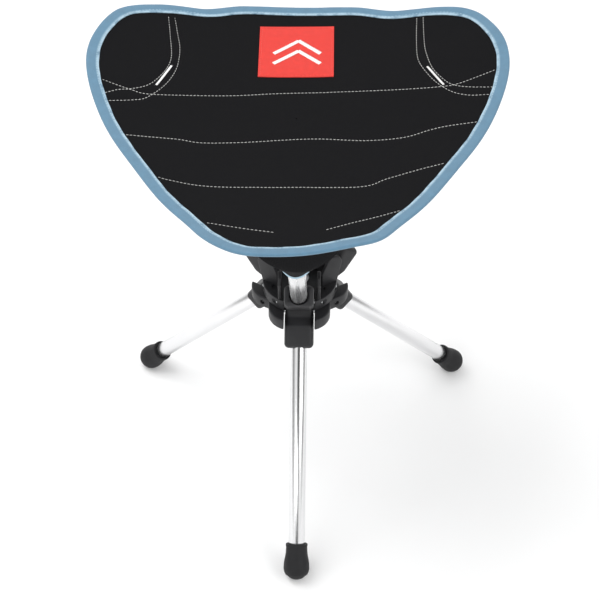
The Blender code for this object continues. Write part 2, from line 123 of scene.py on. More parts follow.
def length_property(name, description, millimetres):
    return FloatProperty(name=name, description=description, unit="LENGTH", min=0,
                         default=millimetres * MM, precision=5)


class StoolSizes(bpy.types.PropertyGroup):
    """Sizes of the moulded and drawn parts."""
    tube_radius: length_property("Tube radius", "Outside radius of the legs and arms", 8)
    tube_wall: length_property("Tube wall", "Wall of the drawn tube", 1.2)
    socket_half_width: length_property("Socket half width", "Half of a socket across its pin", 14.3)
    socket_half_depth: length_property("Socket half depth", "Half of a socket square to its pin", 10.5)
    socket_round: length_property("Socket rounding", "Radius along a socket's edges", 4.6)
    hub_round: length_property("Hub rounding", "Radius round a hub's edges", 1.4)
    cap_radius: length_property("Foot radius", "Radius of a foot cap's ball", 12.8)
    steps: IntProperty(name="Round steps", description="Steps round a turned part", default=64, min=12)


class SlingSizes(bpy.types.PropertyGroup):
    """Sizes of the cloth parts."""
    cloth: length_property("Cloth thickness", "Both layers of the sling's cloth", 1.8)
    tape_width: length_property("Tape width", "Face of the folded binding", 11.8)
    tape: length_property("Tape thickness", "One layer of the binding", 0.7)
    stitch_pitch: length_property("Stitch pitch", "From one stitch to the next", 3.3)
    stitch: length_property("Stitch length", "Thread that shows in one stitch", 2.5)
    thread: length_property("Thread thickness", "Thickness of the sewing thread", 0.75)
    shift: FloatProperty(name="Sling shift", description="How far the sling hangs to the right of its axis",
                         unit="LENGTH", default=-3 * MM, precision=5)


class StoolColours(bpy.types.PropertyGroup):
    """Colours of the finishes."""
    nylon: colour_property("Nylon", "Moulded hubs and sockets", "#262628")
    rubber: colour_property("Rubber", "Foot caps", "#19191B")
    aluminium: colour_property("Aluminium", "Drawn tubes", "#EDEDEE")
    steel: colour_property("Steel", "Plated bolt, washers, nut and pins", "#C2C4C6")
    acetal: colour_property("Acetal", "Swivel washer", "#E9E6DC")
    cloth: colour_property("Cloth", "Polyester sling", "#121214")
    tape: colour_property("Tape", "Woven edge binding", "#557C95")
    # Pale blue of the piping and of the binding's thread; the binding also takes it as a painted highlight
    # along its inner edge.
    pale_blue_and_edge_highlight: colour_property("Tape edge", "Worn light edge of the binding", "#A2BECE")
    label: colour_property("Label", "Woven label", "#EA3F36")
    thread: colour_property("Thread", "Sewing thread", "#B9B9B6")


# Materials

RIB_PITCH = 1.2 * MM
CANVAS_YARN = 0.9 * MM
LABEL_YARN = 0.5 * MM


def node(tree, kind, inputs=None, **settings):
    """Adds a node with its settings, and links or fills its inputs by name or place."""
    made = tree.nodes.new(kind)
    for key, value in settings.items():
        setattr(made, key, value)
    for key, value in (inputs or {}).items():
        if isinstance(value, bpy.types.NodeSocket):
            tree.links.new(value, made.inputs[key])
        else:
            made.inputs[key].default_value = value
    return made


def start_material(name, colour, roughness, metallic=0.0):
    """A material with a Principled shader, its tree and its shader."""
    material = bpy.data.materials.new(name)
    material.use_nodes = True
    material.diffuse_color = (*colour, 1)
    shader = material.node_tree.nodes["Principled BSDF"]
    shader.inputs["Base Color"].default_value = (*colour, 1)
    shader.inputs["Roughness"].default_value = roughness
    shader.inputs["Metallic"].default_value = metallic
    return material, material.node_tree, shader


def arithmetic(tree, operation, *values):
    """A maths node's result."""
    return node(tree, "ShaderNodeMath", dict(enumerate(values)), operation=operation).outputs[0]


def remapped(tree, value, low, high, first=0.0, last=1.0):
    """Turns values from low to high into first to last, and holds them there."""
    return node(tree, "ShaderNodeMapRange", {0: value, 1: low, 2: high, 3: first, 4: last}).outputs[0]


def tinted(colour, share):
    """A colour made darker or lighter, as red, green, blue and alpha."""
    return (*(min(1.0, c * share) for c in colour), 1)


def shade_between(tree, shader, factor, dark, light):
    """Lets a pattern vary the base colour between two tints."""
    mix = node(tree, "ShaderNodeMix", {0: factor, 6: dark, 7: light}, data_type="RGBA")
    tree.links.new(mix.outputs[2], shader.inputs["Base Color"])


def vary_roughness(tree, shader, factor, low, high):
    tree.links.new(remapped(tree, factor, 0, 1, low, high), shader.inputs["Roughness"])


def emboss(tree, shader, height, depth, strength=1.0):
    bump = node(tree, "ShaderNodeBump", {"Strength": strength, "Distance": depth, "Height": height})
    tree.links.new(bump.outputs[0], shader.inputs["Normal"])


def noise(tree, place, grain, detail=3.0, roughness=0.55):
    """Noise with blobs about as wide as the grain, in metres."""
    return node(tree, "ShaderNodeTexNoise", {"Vector": place, "Scale": 1 / grain, "Detail": detail,
                                             "Roughness": roughness}).outputs[0]


def moulded_plastic(name, colour, roughness, grain, depth):
    """Moulded parts have an eroded matt grain, with faint flow marks and handling shine."""
    material, tree, shader = start_material(name, colour, roughness)
    shader.inputs["Specular IOR Level"].default_value = 0.32
    place = node(tree, "ShaderNodeTexCoord").outputs["Object"]
    flow = noise(tree, place, 14 * MM, 4)
    shade_between(tree, shader, flow, tinted(colour, 0.82), tinted(colour, 1.2))
    vary_roughness(tree, shader, noise(tree, place, 6 * MM, 5), roughness - 0.1, roughness + 0.1)
    emboss(tree, shader, noise(tree, place, grain, 2), depth, 0.6)
    return material


def drawn_aluminium(name, colour):
    """Drawn and brightened tube: mirror-like, with hair lines along it where the die dragged."""
    material, tree, shader = start_material(name, colour, 0.2, 1.0)
    place = node(tree, "ShaderNodeUVMap", uv_map="flat").outputs[0]
    lines = node(tree, "ShaderNodeMapping", {"Vector": place, "Scale": (14, 2400, 1)}).outputs[0]
    hair = node(tree, "ShaderNodeTexNoise", {"Vector": lines, "Scale": 1.0, "Detail": 4.0}).outputs[0]
    cloud = noise(tree, place, 30 * MM, 3)
    shade_between(tree, shader, cloud, tinted(colour, 0.93), tinted(colour, 1.0))
    vary_roughness(tree, shader, hair, 0.13, 0.3)
    emboss(tree, shader, hair, 0.02 * MM, 0.35)
    return material


def plated_steel(name, colour):
    """Zinc plate is a soft bright grey with a cloudy bloom."""
    material, tree, shader = start_material(name, colour, 0.32, 1.0)
    place = node(tree, "ShaderNodeTexCoord").outputs["Object"]
    bloom = noise(tree, place, 3 * MM, 6)
    shade_between(tree, shader, bloom, tinted(colour, 0.8), tinted(colour, 1.1))
    vary_roughness(tree, shader, bloom, 0.22, 0.46)
    emboss(tree, shader, noise(tree, place, 0.6 * MM), 0.02 * MM, 0.4)
    return material


def weave_height(tree, place, pitch):
    """Height of a plain weave over flat cloth: bundles of yarn that pass over and under each other."""
    apart = node(tree, "ShaderNodeSeparateXYZ", {0: place})
    over = node(tree, "ShaderNodeTexChecker", {"Vector": place, "Scale": 1 / pitch}).outputs["Fac"]
    ridges = []
    for axis in ("X", "Y"):
        turn = arithmetic(tree, "MULTIPLY", apart.outputs[axis], pi / pitch)
        ridges.append(arithmetic(tree, "ABSOLUTE", arithmetic(tree, "SINE", turn)))
    return node(tree, "ShaderNodeMix", {0: over, 2: ridges[0], 3: ridges[1]}).outputs[0]


def woven_cloth(name, colour, pitch, depth, light, roughness, sheen):
    """Woven yarn: the crowns of the bundles catch the light and the gaps between them stay dark."""
    material, tree, shader = start_material(name, colour, roughness)
    shader.inputs["Sheen Weight"].default_value = sheen
    shader.inputs["Sheen Roughness"].default_value = 0.5
    shader.inputs["Specular IOR Level"].default_value = 0.12
    place = node(tree, "ShaderNodeUVMap", uv_map="flat").outputs[0]
    height = weave_height(tree, place, pitch)
    slub = noise(tree, place, 5 * MM, 6, 0.7)
    both = arithmetic(tree, "MULTIPLY", height, slub)
    shade_between(tree, shader, both, tinted(colour, 0.66), tinted(colour, light))
    vary_roughness(tree, shader, slub, roughness - 0.08, min(1.0, roughness + 0.1))
    emboss(tree, shader, height, depth, 0.7)
    return material


def ribbed_tape(name, colour, light, width):
    """Grosgrain tape has fine ribs across it, and a highlight is painted paler along its inner edge, patchy
    where noise breaks it up.
    """
    material, tree, shader = start_material(name, colour, 0.72)
    shader.inputs["Sheen Weight"].default_value = 0.25
    place = node(tree, "ShaderNodeUVMap", uv_map="flat").outputs[0]
    apart = node(tree, "ShaderNodeSeparateXYZ", {0: place})
    ridge = arithmetic(tree, "SINE", arithmetic(tree, "MULTIPLY", apart.outputs["X"], 2 * pi / RIB_PITCH))
    # Mask of the painted highlight along the tape's inner edge, broken up by the noise below.
    edge = remapped(tree, apart.outputs["Y"], width - 3.4 * MM, width - 1.0 * MM)
    fade = noise(tree, place, 9 * MM, 5, 0.65)
    painted_edge_highlight = arithmetic(tree, "MULTIPLY", edge, remapped(tree, fade, 0.3, 0.55))
    cloudy = node(tree, "ShaderNodeMix", {0: fade, 6: tinted(colour, 0.78), 7: tinted(colour, 1.24)},
                  data_type="RGBA").outputs[2]
    shade_between(tree, shader, painted_edge_highlight, cloudy, (*light, 1))
    vary_roughness(tree, shader, fade, 0.6, 0.85)
    emboss(tree, shader, ridge, 0.12 * MM, 0.6)
    return material


def twisted_thread(name, colour):
    """Two-ply sewing thread, with the plies' slanting lay across it."""
    material, tree, shader = start_material(name, colour, 0.6)
    shader.inputs["Sheen Weight"].default_value = 0.3
    place = node(tree, "ShaderNodeTexCoord").outputs["Object"]
    ply = node(tree, "ShaderNodeTexWave", {"Vector": place, "Scale": 500.0, "Distortion": 1.0},
               wave_type="BANDS", bands_direction="DIAGONAL").outputs["Fac"]
    shade_between(tree, shader, ply, tinted(colour, 0.72), tinted(colour, 1.15))
    emboss(tree, shader, ply, 0.08 * MM, 0.6)
    return material


def matt_floor(name, code):
    """Painted board with a barely visible roller texture."""
    material, tree, shader = start_material(name, linear(code), 0.9)
    place = node(tree, "ShaderNodeTexCoord").outputs["Object"]
    emboss(tree, shader, noise(tree, place, 2 * MM), 0.05 * MM, 0.1)
    return material


def make_materials(colours, sling):
    return {
        # Glass-filled nylon, injection moulded in a spark-eroded tool: matt charcoal with soft lights.
        "nylon": moulded_plastic("spark_eroded_black_nylon", colours.nylon, 0.46, 0.5 * MM, 0.05 * MM),
        # Moulded rubber, duller and darker than the nylon.
        "rubber": moulded_plastic("moulded_black_rubber", colours.rubber, 0.62, 0.8 * MM, 0.05 * MM),
        "aluminium": drawn_aluminium("drawn_bright_aluminium", colours.aluminium),
        "steel": plated_steel("zinc_plated_steel", colours.steel),
        # Natural acetal, machined: waxy and off-white.
        "acetal": moulded_plastic("natural_acetal", colours.acetal, 0.36, 0.6 * MM, 0.02 * MM),
        # Coarse plain-woven polyester canvas, matt black.
        "cloth": woven_cloth("woven_black_polyester", colours.cloth, CANVAS_YARN, 0.2 * MM, 1.7, 0.9, 0.0),
        "tape": ribbed_tape("ribbed_blue_tape", colours.tape, colours.pale_blue_and_edge_highlight, sling.tape_width),
        "cord": ribbed_tape("ribbed_pale_piping", colours.pale_blue_and_edge_highlight, colours.pale_blue_and_edge_highlight, 1.0),
        # Damask label with a satin face and fine threads.
        "label": woven_cloth("woven_red_label", colours.label, LABEL_YARN, 0.08 * MM, 1.15, 0.6, 0.2),
        "thread": twisted_thread("twisted_pale_thread", colours.thread),
        "tape_thread": twisted_thread("twisted_blue_thread", colours.pale_blue_and_edge_highlight),
        "label_thread": twisted_thread("twisted_white_thread", linear("#F7F5F2")),
        "red_thread": twisted_thread("twisted_red_thread", colours.label),
    }


# Shapes

def add_object(name, data):
    """Puts mesh, lamp or camera data in the scene as an object."""
    obj = bpy.data.objects.new(name, data)
    bpy.context.scene.collection.objects.link(obj)
    return obj


def as_piece(name, bm, material, matrix=None, sharp=35):
    """Turns a bmesh into a smooth object at the origin, with its place in its mesh."""
    if matrix is not None:
        bmesh.ops.transform(bm, matrix=matrix, verts=bm.verts)
    mesh = bpy.data.meshes.new(name)
    bm.to_mesh(mesh)
    bm.free()
    mesh.shade_smooth()
    mesh.set_sharp_from_angle(angle=radians(sharp))
    mesh.materials.append(material)
    return add_object(name, mesh)


def settle(obj):
    """Makes a piece's modifiers part of its mesh."""
    bpy.context.view_layer.update()
    evaluated = obj.evaluated_get(bpy.context.evaluated_depsgraph_get())
    mesh = bpy.data.meshes.new_from_object(evaluated)
    obj.modifiers.clear()
    old, obj.data = obj.data, mesh
    mesh.name = obj.name
    bpy.data.meshes.remove(old)
    return obj


def turned(profile, steps, uv_radius=None):
    """A solid turned about local Z from (radius, height) points; a radius of 0 closes it on the axis.
    With a UV radius, its UV map unrolls it at that radius, in metres."""
    bm = bmesh.new()
    rings = []
    for radius, height in profile:
        if radius == 0:
            rings.append([bm.verts.new((0, 0, height))])
            continue
        turns = [2 * pi * step / steps for step in range(steps)]
        rings.append([bm.verts.new((radius * cos(a), radius * sin(a), height)) for a in turns])
    closed = all(radius for radius, _ in profile)
    layer = bm.loops.layers.uv.new("flat") if uv_radius else None
    for low, high in zip(rings, rings[1:] + rings[:1] if closed else rings[1:]):
        for i in range(steps):
            j = (i + 1) % steps
            corners = [low[i % len(low)], low[j % len(low)], high[j % len(high)], high[i % len(high)]]
            face = bm.faces.new(list(dict.fromkeys(corners)))
            if layer:
                for loop in face.loops:
                    step = i if loop.vert in (low[i % len(low)], high[i % len(high)]) else i + 1
                    loop[layer].uv = (loop.vert.co.z, 2 * pi * uv_radius * step / steps)
    bmesh.ops.recalc_face_normals(bm, faces=bm.faces)
    return bm


def along_x(bm, start=0.0):
    """Lays a turned shape along X, from a start."""
    turn = Matrix.Translation((start, 0, 0)) @ Matrix.Rotation(pi / 2, 4, "Y")
    bmesh.ops.transform(bm, matrix=turn, verts=bm.verts)
    return bm


def along_y(bm):
    """Lays a turned shape along Y."""
    bmesh.ops.transform(bm, matrix=Matrix.Rotation(-pi / 2, 4, "X"), verts=bm.verts)
    return bm


def rod(radius, low, high, steps=48):
    """A plain round bar along Z."""
    return turned([(0, low), (radius, low), (radius, high), (0, high)], steps)


def arc(centre, radius, start, end, steps):
    """Points of an arc from one turn to another."""
    turns = [start + (end - start) * i / steps for i in range(steps + 1)]
    return [(centre[0] + radius * cos(a), centre[1] + radius * sin(a)) for a in turns]


def filleted(outline, radius, steps=4, closed=False):
    """An outline with its corners rounded, each by as much as its edges allow."""
    points = [Vector(point) for point in outline]
    result = []
    for i, corner in enumerate(points):
        if not closed and i in (0, len(points) - 1):
            result.append(tuple(corner))
            continue
        back, on = points[i - 1] - corner, points[(i + 1) % len(points)] - corner
        half = back.angle(on) / 2
        if half > radians(86):
            result.append(tuple(corner))
            continue
        reach = min(radius / tan(half), 0.48 * back.length, 0.48 * on.length)
        size = reach * tan(half)
        centre = corner + (back.normalized() + on.normalized()).normalized() * size / sin(half)
        start, end = corner + back.normalized() * reach - centre, corner + on.normalized() * reach - centre
        for k in range(steps + 1):
            result.append(tuple(centre + start.normalized().slerp(end.normalized(), k / steps) * size))
    return result


def extruded(outline, low, high):
    """A solid with a flat outline, between two heights."""
    bm = bmesh.new()
    face = bm.faces.new([bm.verts.new((x, y, low)) for x, y in outline])
    raised = bmesh.ops.extrude_face_region(bm, geom=[face])["geom"]
    moved = [item for item in raised if isinstance(item, bmesh.types.BMVert)]
    bmesh.ops.translate(bm, verts=moved, vec=(0, 0, high - low))
    bmesh.ops.recalc_face_normals(bm, faces=bm.faces)
    return bm


def carve(obj, tools, operation="DIFFERENCE"):
    """Cuts shapes out of a piece, or joins them to it. Each tool is a bmesh in the row frame."""
    for bm in tools:
        bmesh.ops.recalc_face_normals(bm, faces=bm.faces)
        mesh = bpy.data.meshes.new("tool")
        bm.to_mesh(mesh)
        bm.free()
        tool = add_object("tool", mesh)
        cut = obj.modifiers.new("cut", "BOOLEAN")
        cut.operation, cut.solver, cut.object = operation, "EXACT", tool
        settle(obj)
        bpy.data.objects.remove(tool, do_unlink=True)
    obj.data.shade_smooth()
    obj.data.set_sharp_from_angle(angle=radians(35))
    return obj


def round_edges(obj, width, segments, angle=40):
    """Rounds the edges that are sharper than an angle in degrees."""
    bevel = obj.modifiers.new("rounding", "BEVEL")
    bevel.width, bevel.segments, bevel.limit_method = width, segments, "ANGLE"
    bevel.angle_limit = radians(angle)
    return settle(obj)


def placed(bm, matrix):
    bmesh.ops.transform(bm, matrix=matrix, verts=bm.verts)
    return bm


def facing(turn):
    """Frame on the swivel axis with X at a turn."""
    return Matrix.Translation(AXIS) @ Matrix.Rotation(turn, 4, "Z")


def limb_matrix(joint, side, tilt):
    """Frame of a limb: origin on its pin, X along its tube."""
    return (Matrix.Translation(JOINTS[f"{joint}_{side}"]["pos_m"]) @ Matrix.Rotation(SIDES[side], 4, "Z")
            @ Matrix.Rotation(tilt, 4, "Y"))


# Hubs

SLOT_HALF_WIDTH = 15.0 * MM
LEG_HUB_Z = (199.6 * MM, 212.6 * MM)
LEG_SLOT_FLOOR = 17.7 * MM
LOBE_HALF_WIDTH = 30.3 * MM
LOBE_END = 47.0 * MM
LOBE_CORNER_R = 22.0 * MM
ARM_HUB_Z = (214.2 * MM, 226.2 * MM)
ARM_SLOT_FLOOR = 19.8 * MM
ARM_HUB_R = 36.5 * MM
PIN_R = 2.2 * MM
GAP = 0.3 * MM
BOLT_R = 4.0 * MM
BOLT_HOLE_R = BOLT_R + GAP
NUT_FLATS = 13.0 * MM

# Cheeks that stand on the upper hub beside each slot and guide the arm: (out, up), rising with the arm.
CHEEK_OUTLINE = ((13.5 * MM, 217.0 * MM), (27.5 * MM, 217.0 * MM), (31.0 * MM, 228.0 * MM),
                 (36.0 * MM, 250.0 * MM), (33.0 * MM, 257.0 * MM), (24.0 * MM, 259.0 * MM),
                 (20.0 * MM, 254.0 * MM), (13.5 * MM, 240.0 * MM))
CHEEK_SIDES = (17.0 * MM, 20.6 * MM)


def repeated_outline(half):
    """Mirrors half a lobe's outline, given from its slot outwards, and turns it to the three sides."""
    lobe = [(x, -y) for x, y in reversed(half)] + half
    outline = []
    for side in sorted(SIDES.values()):
        for x, y in lobe:
            point = (x * cos(side) - y * sin(side), x * sin(side) + y * cos(side))
            if not outline or hypot(point[0] - outline[-1][0], point[1] - outline[-1][1]) > 1e-6:
                outline.append(point)
    if hypot(outline[0][0] - outline[-1][0], outline[0][1] - outline[-1][1]) < 1e-6:
        outline.pop()
    return outline


def leg_hub_outline():
    corner = (LOBE_END - LOBE_CORNER_R, LOBE_HALF_WIDTH - LOBE_CORNER_R)
    rise = SLOT_HALF_WIDTH - corner[1]
    start = atan2(rise, sqrt(LOBE_CORNER_R**2 - rise**2))
    half = [(LEG_SLOT_FLOOR, SLOT_HALF_WIDTH)] + arc(corner, LOBE_CORNER_R, start, pi / 2, 10)
    return repeated_outline(half + [(LOBE_HALF_WIDTH / sqrt(3), LOBE_HALF_WIDTH)])


def arm_hub_outline():
    start = atan2(SLOT_HALF_WIDTH, sqrt(ARM_HUB_R**2 - SLOT_HALF_WIDTH**2))
    half = [(ARM_SLOT_FLOOR, SLOT_HALF_WIDTH)] + arc((0, 0), ARM_HUB_R, start, pi / 3, 10)
    return repeated_outline(half)


def recess_tools(places, size, heights):
    """Shallow moulded recesses with round corners, one for each (out, across) place on each side."""
    tools = []
    half_out, half_across = size
    for turn in SIDES.values():
        for out, across in places:
            box = [(out - half_out, across - half_across), (out + half_out, across - half_across),
                   (out + half_out, across + half_across), (out - half_out, across + half_across)]
            tools.append(placed(extruded(filleted(box, 2 * MM, 4, closed=True), *heights), facing(turn)))
    return tools


def cheeks():
    """The six cheeks of the upper hub, with round edges."""
    made = []
    near, far = CHEEK_SIDES
    for turn in SIDES.values():
        for low, high in ((near, far), (-far, -near)):
            bm = extruded(filleted(CHEEK_OUTLINE, 3 * MM, 4, closed=True), low, high)
            place = facing(turn) @ Matrix.Rotation(pi / 2, 4, "X")
            cheek = round_edges(as_piece("cheek", placed(bm, place), MATERIALS["nylon"]), 0.9 * MM, 3, 60)
            shape = bmesh.new()
            shape.from_mesh(cheek.data)
            bpy.data.objects.remove(cheek, do_unlink=True)
            made.append(shape)
    return made


def make_hub(name, outline, heights, pin, body, material, recess, joined=()):
    """A slotted plate with a bolt hole and a pin hole across each slot."""
    place = Matrix.Translation(AXIS)
    low, high = heights
    hub = as_piece(name, extruded(outline, low, high), material, place)
    round_edges(hub, bpy.context.scene.stool_sizes.hub_round, 3, 50)
    carve(hub, joined, "UNION")
    tools = [placed(rod(BOLT_HOLE_R, low - 5 * MM, high + 5 * MM), place)]
    for turn in SIDES.values():
        at = facing(turn) @ Matrix.Translation((pin[0], 0, pin[1]))
        tools.append(placed(along_y(rod(PIN_R + GAP, -40 * MM, 40 * MM, 24)), at))
    carve(hub, tools + recess)
    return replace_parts(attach(hub, body), name.replace("_shell", ""))


class STOOL_OT_hubs(bpy.types.Operator):
    """Moulds the two slotted hubs"""
    bl_idname = "stool.hubs"
    bl_label = "Hubs"

    def execute(self, context):
        nylon = MATERIALS["nylon"]
        low, high = LEG_HUB_Z
        under = recess_tools([(31 * MM, -23.3 * MM), (31 * MM, 23.3 * MM)], (7 * MM, 3.4 * MM),
                             (low - 1 * MM, low + 1.6 * MM))
        make_hub("leg_hub_shell", leg_hub_outline(), LEG_HUB_Z, LEG_PIN, "leg_base", nylon, under)
        low, high = ARM_HUB_Z
        over = recess_tools([(15 * MM, 23 * MM)], (2.6 * MM, 2.6 * MM), (high - 1.2 * MM, high + 1 * MM))
        outline = filleted(arm_hub_outline(), 1.6 * MM, 3, closed=True)
        make_hub("arm_hub_shell", outline, ARM_HUB_Z, ARM_PIN, "seat_base", nylon, over, cheeks())
        return {"FINISHED"}


class STOOL_OT_hardware(bpy.types.Operator):
    """Turns the swivel bolt, its washers and lock nut, and plates the pins"""
    bl_idname = "stool.hardware"
    bl_label = "Bolt, washers, nut and pins"

    def execute(self, context):
        steel, steps = MATERIALS["steel"], context.scene.stool_sizes.steps
        place = Matrix.Translation(AXIS)
        low, top = (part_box("swivel_bolt")[i].z for i in (0, 1))
        head = top - 5 * MM
        bolt = [(0, low), (3.2 * MM, low), (BOLT_R, low + 0.8 * MM), (BOLT_R, head), (6.5 * MM, head),
                (6.5 * MM, head + 2 * MM)]
        bolt += arc((3.0 * MM, head + 1.5 * MM), 3.5 * MM, 0.25, pi / 2, 8)
        bolt += [(2.3 * MM, top), (2.3 * MM, top - 2.6 * MM), (0, top - 2.9 * MM)]
        piece = as_piece("swivel_bolt_turned", turned(bolt, steps), steel, place)
        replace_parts(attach(piece, "leg_base"), "swivel_bolt")
        for name in ("bolt_washer", "nut_washer"):
            self.washer(name, steel, "plated_steel", steps)
        self.washer("swivel_washer", MATERIALS["acetal"], "natural_acetal", steps)
        self.lock_nut(steel, place)
        for obj in frame["nodes"].values():
            if "_pin_" in obj.name:
                obj.data.materials.clear()
                obj.data.materials.append(steel)
        return {"FINISHED"}

    def washer(self, name, material, slot, steps):
        low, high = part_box(name)
        radius = (high.x - low.x) / 2
        ring = [(BOLT_HOLE_R, low.z), (radius, low.z), (radius, high.z), (BOLT_HOLE_R, high.z)]
        bm = turned(filleted(ring, 0.3 * MM, 3, closed=True), steps)
        piece = as_piece(name + "_stamped", bm, material, Matrix.Translation(AXIS))
        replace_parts(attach(piece, "leg_base"), name)

    def lock_nut(self, steel, place):
        low, high = (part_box("lock_nut")[i].z for i in (0, 1))
        radius = NUT_FLATS / sqrt(3)
        bm = extruded([(radius * cos(i * pi / 3), radius * sin(i * pi / 3)) for i in range(6)], low, high)
        nut = round_edges(as_piece("lock_nut_hex", bm, steel, place), 0.6 * MM, 3)
        collar = [(5.2 * MM, low - 1 * MM), (9 * MM, low - 1 * MM), (9 * MM, low + 1.6 * MM),
                  (6 * MM, low + 1.6 * MM)]
        carve(nut, [placed(turned(collar, 48), place),
                    placed(rod(BOLT_HOLE_R, low - 5 * MM, high + 5 * MM), place)])
        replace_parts(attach(nut, "leg_base"), "lock_nut")


# Limbs

KNUCKLE_R = 6.4 * MM
SHOULDER_START, SHOULDER_END = 6.0 * MM, 14.0 * MM
LEG_SOCKET_LENGTH = 36.5 * MM
ARM_SOCKET_LENGTH = 40.0 * MM
SOCKET_LIP = 2.2 * MM
TUBE_START = 10.0 * MM
RIM_R = 10.8 * MM
TIP_REACH = 16.0 * MM
TIP_R = 8.8 * MM


def socket_outline(length, half_depth):
    """Side view of a socket: a round knuckle on its pin, soft shoulders, and a straight sleeve."""
    knuckle = arc((0, 0), KNUCKLE_R, pi / 2, 3 * pi / 2, 20)
    mouth = [(length, -half_depth), (length, half_depth)]
    shoulders = [(SHOULDER_START, -KNUCKLE_R), (SHOULDER_END, -half_depth), *mouth,
                 (SHOULDER_END, half_depth), (SHOULDER_START, KNUCKLE_R)]
    soft = filleted([knuckle[-1]] + shoulders + [knuckle[0]], 5 * MM, 5)
    keep = [point for point in soft[1:-1] if point[0] < length - SHOULDER_START]
    return knuckle + [p for p in keep if p[1] < 0] + mouth + [p for p in keep if p[1] > 0]


def make_socket(kind, side, joint, tilt, length, material):
    """A moulded socket with its bore, its pin hole, a lip at its mouth and a recess at each pin end."""
    sizes = bpy.context.scene.stool_sizes
    name = f"{kind}_socket_{side}"
    matrix = limb_matrix(joint, side, tilt)
    half = sizes.socket_half_width
    bm = placed(extruded(socket_outline(length, sizes.socket_half_depth), -half, half),
                Matrix.Rotation(pi / 2, 4, "X"))
    bmesh.ops.recalc_face_normals(bm, faces=bm.faces)
    socket = as_piece(name + "_shell", bm, material)
    round_edges(socket, sizes.socket_round, 6, 50)
    bore = sizes.tube_radius + GAP
    lip = length - SOCKET_LIP
    mouth = [(0, lip), (bore, lip), (bore + 1.8 * MM, length + 1 * MM), (0, length + 1 * MM)]
    tools = [along_x(rod(bore, TUBE_START - GAP, length + 1 * MM, 64)), along_x(turned(mouth, 64)),
             along_y(rod(PIN_R + GAP, -20 * MM, 20 * MM, 24))]
    for end in (-1, 1):
        recess = along_y(rod(4.6 * MM, 0, 3 * MM, 32))
        tools.append(placed(recess, Matrix.Translation((0, end * half - 1.5 * MM, 0))))
    carve(socket, tools)
    socket.data.transform(matrix)
    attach(socket, f"{kind}_{side}")
    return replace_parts(socket, name)


def make_tube(kind, side, joint, tilt, end, material):
    sizes = bpy.context.scene.stool_sizes
    name = f"{kind}_tube_{side}"
    outer, inner = sizes.tube_radius, sizes.tube_radius - sizes.tube_wall
    ends = [(inner, TUBE_START), (outer, TUBE_START), (outer, end), (inner, end)]
    section = filleted(ends, 0.4 * MM, 2, closed=True)
    bm = along_x(turned(section, sizes.steps, uv_radius=outer))
    tube = as_piece(name + "_drawn", bm, material, limb_matrix(joint, side, tilt))
    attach(tube, f"{kind}_{side}")
    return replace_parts(tube, name)


def make_foot(side, material):
    """A rubber cap: a beaded rim, a sleeve that swells to a ball, and a moulded sole with a tread ring."""
    sizes = bpy.context.scene.stool_sizes
    ball, rim, bore = sizes.cap_radius, RIM_R, sizes.tube_radius + GAP
    profile = [(0, -2 * MM), (bore, -2 * MM), (bore, -23.6 * MM)]
    profile += arc((rim - 0.9 * MM, -23.1 * MM), 0.9 * MM, -pi / 2, 0, 5)
    profile += [(rim, -21.6 * MM), (rim - 0.4 * MM, -21.0 * MM), (rim - 0.2 * MM, -19 * MM)]
    for i in range(9):
        share = i / 8
        swell = share * share * (3 - 2 * share)
        profile.append((rim - 0.1 * MM + (ball - rim) * swell, (-17 + 15 * share) * MM))
    profile += arc((0, 0), ball, 0, radians(33), 8)
    profile += arc((0, 0), ball - 0.7 * MM, radians(37), radians(86), 12) + [(0, ball - 0.7 * MM)]
    bm = along_x(turned(profile, sizes.steps), LEG_LENGTH)
    down = Matrix.Rotation(-LEG_ANGLE, 3, "Y") @ Vector((0, 0, -1))
    sole = Vector((LEG_LENGTH, 0, 0)) + down * FOOT[1]
    everything = bm.verts[:] + bm.edges[:] + bm.faces[:]
    bmesh.ops.bisect_plane(bm, geom=everything, plane_co=sole, plane_no=down, clear_outer=True)
    bmesh.ops.holes_fill(bm, edges=[edge for edge in bm.edges if edge.is_boundary])
    bmesh.ops.recalc_face_normals(bm, faces=bm.faces)
    name = f"foot_cap_{side}"
    cap = as_piece(name + "_moulded", bm, material, limb_matrix("leg_fold", side, LEG_ANGLE), 30)
    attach(cap, f"leg_{side}")
    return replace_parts(cap, name)


def make_tip(side, material):
    """A domed plug with three grip beads over an arm's end."""
    sizes = bpy.context.scene.stool_sizes
    bore, top, low = sizes.tube_radius + GAP, ARM_LENGTH, ARM_LENGTH - TIP_REACH
    profile = [(0, top - 3 * MM), (bore, top - 3 * MM), (bore, low)]
    for bead in range(3):
        foot = low + 3.5 * MM * bead
        profile += [(TIP_R, foot + 1 * MM), (TIP_R, foot + 3 * MM), (TIP_R - GAP, foot + 3.6 * MM)]
    profile += [(TIP_R, top - 1.5 * MM)] + arc((3.8 * MM, top - 2 * MM), 5 * MM, 0.1, pi / 2, 8)
    profile.append((0, top + 3 * MM))
    bm = along_x(turned(profile, sizes.steps))
    name = f"arm_tip_{side}"
    tip = as_piece(name + "_moulded", bm, material, limb_matrix("arm_fold", side, -ARM_ANGLE))
    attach(tip, f"arm_{side}")
    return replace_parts(tip, name)


class STOOL_OT_legs(bpy.types.Operator):
    """Makes the three legs: socket, tube and foot cap"""
    bl_idname = "stool.legs"
    bl_label = "Legs"

    def execute(self, context):
        for side in SIDES:
            make_socket("leg", side, "leg_fold", LEG_ANGLE, LEG_SOCKET_LENGTH, MATERIALS["nylon"])
            make_tube("leg", side, "leg_fold", LEG_ANGLE, LEG_LENGTH - 2.3 * MM, MATERIALS["aluminium"])
            make_foot(side, MATERIALS["rubber"])
        return {"FINISHED"}


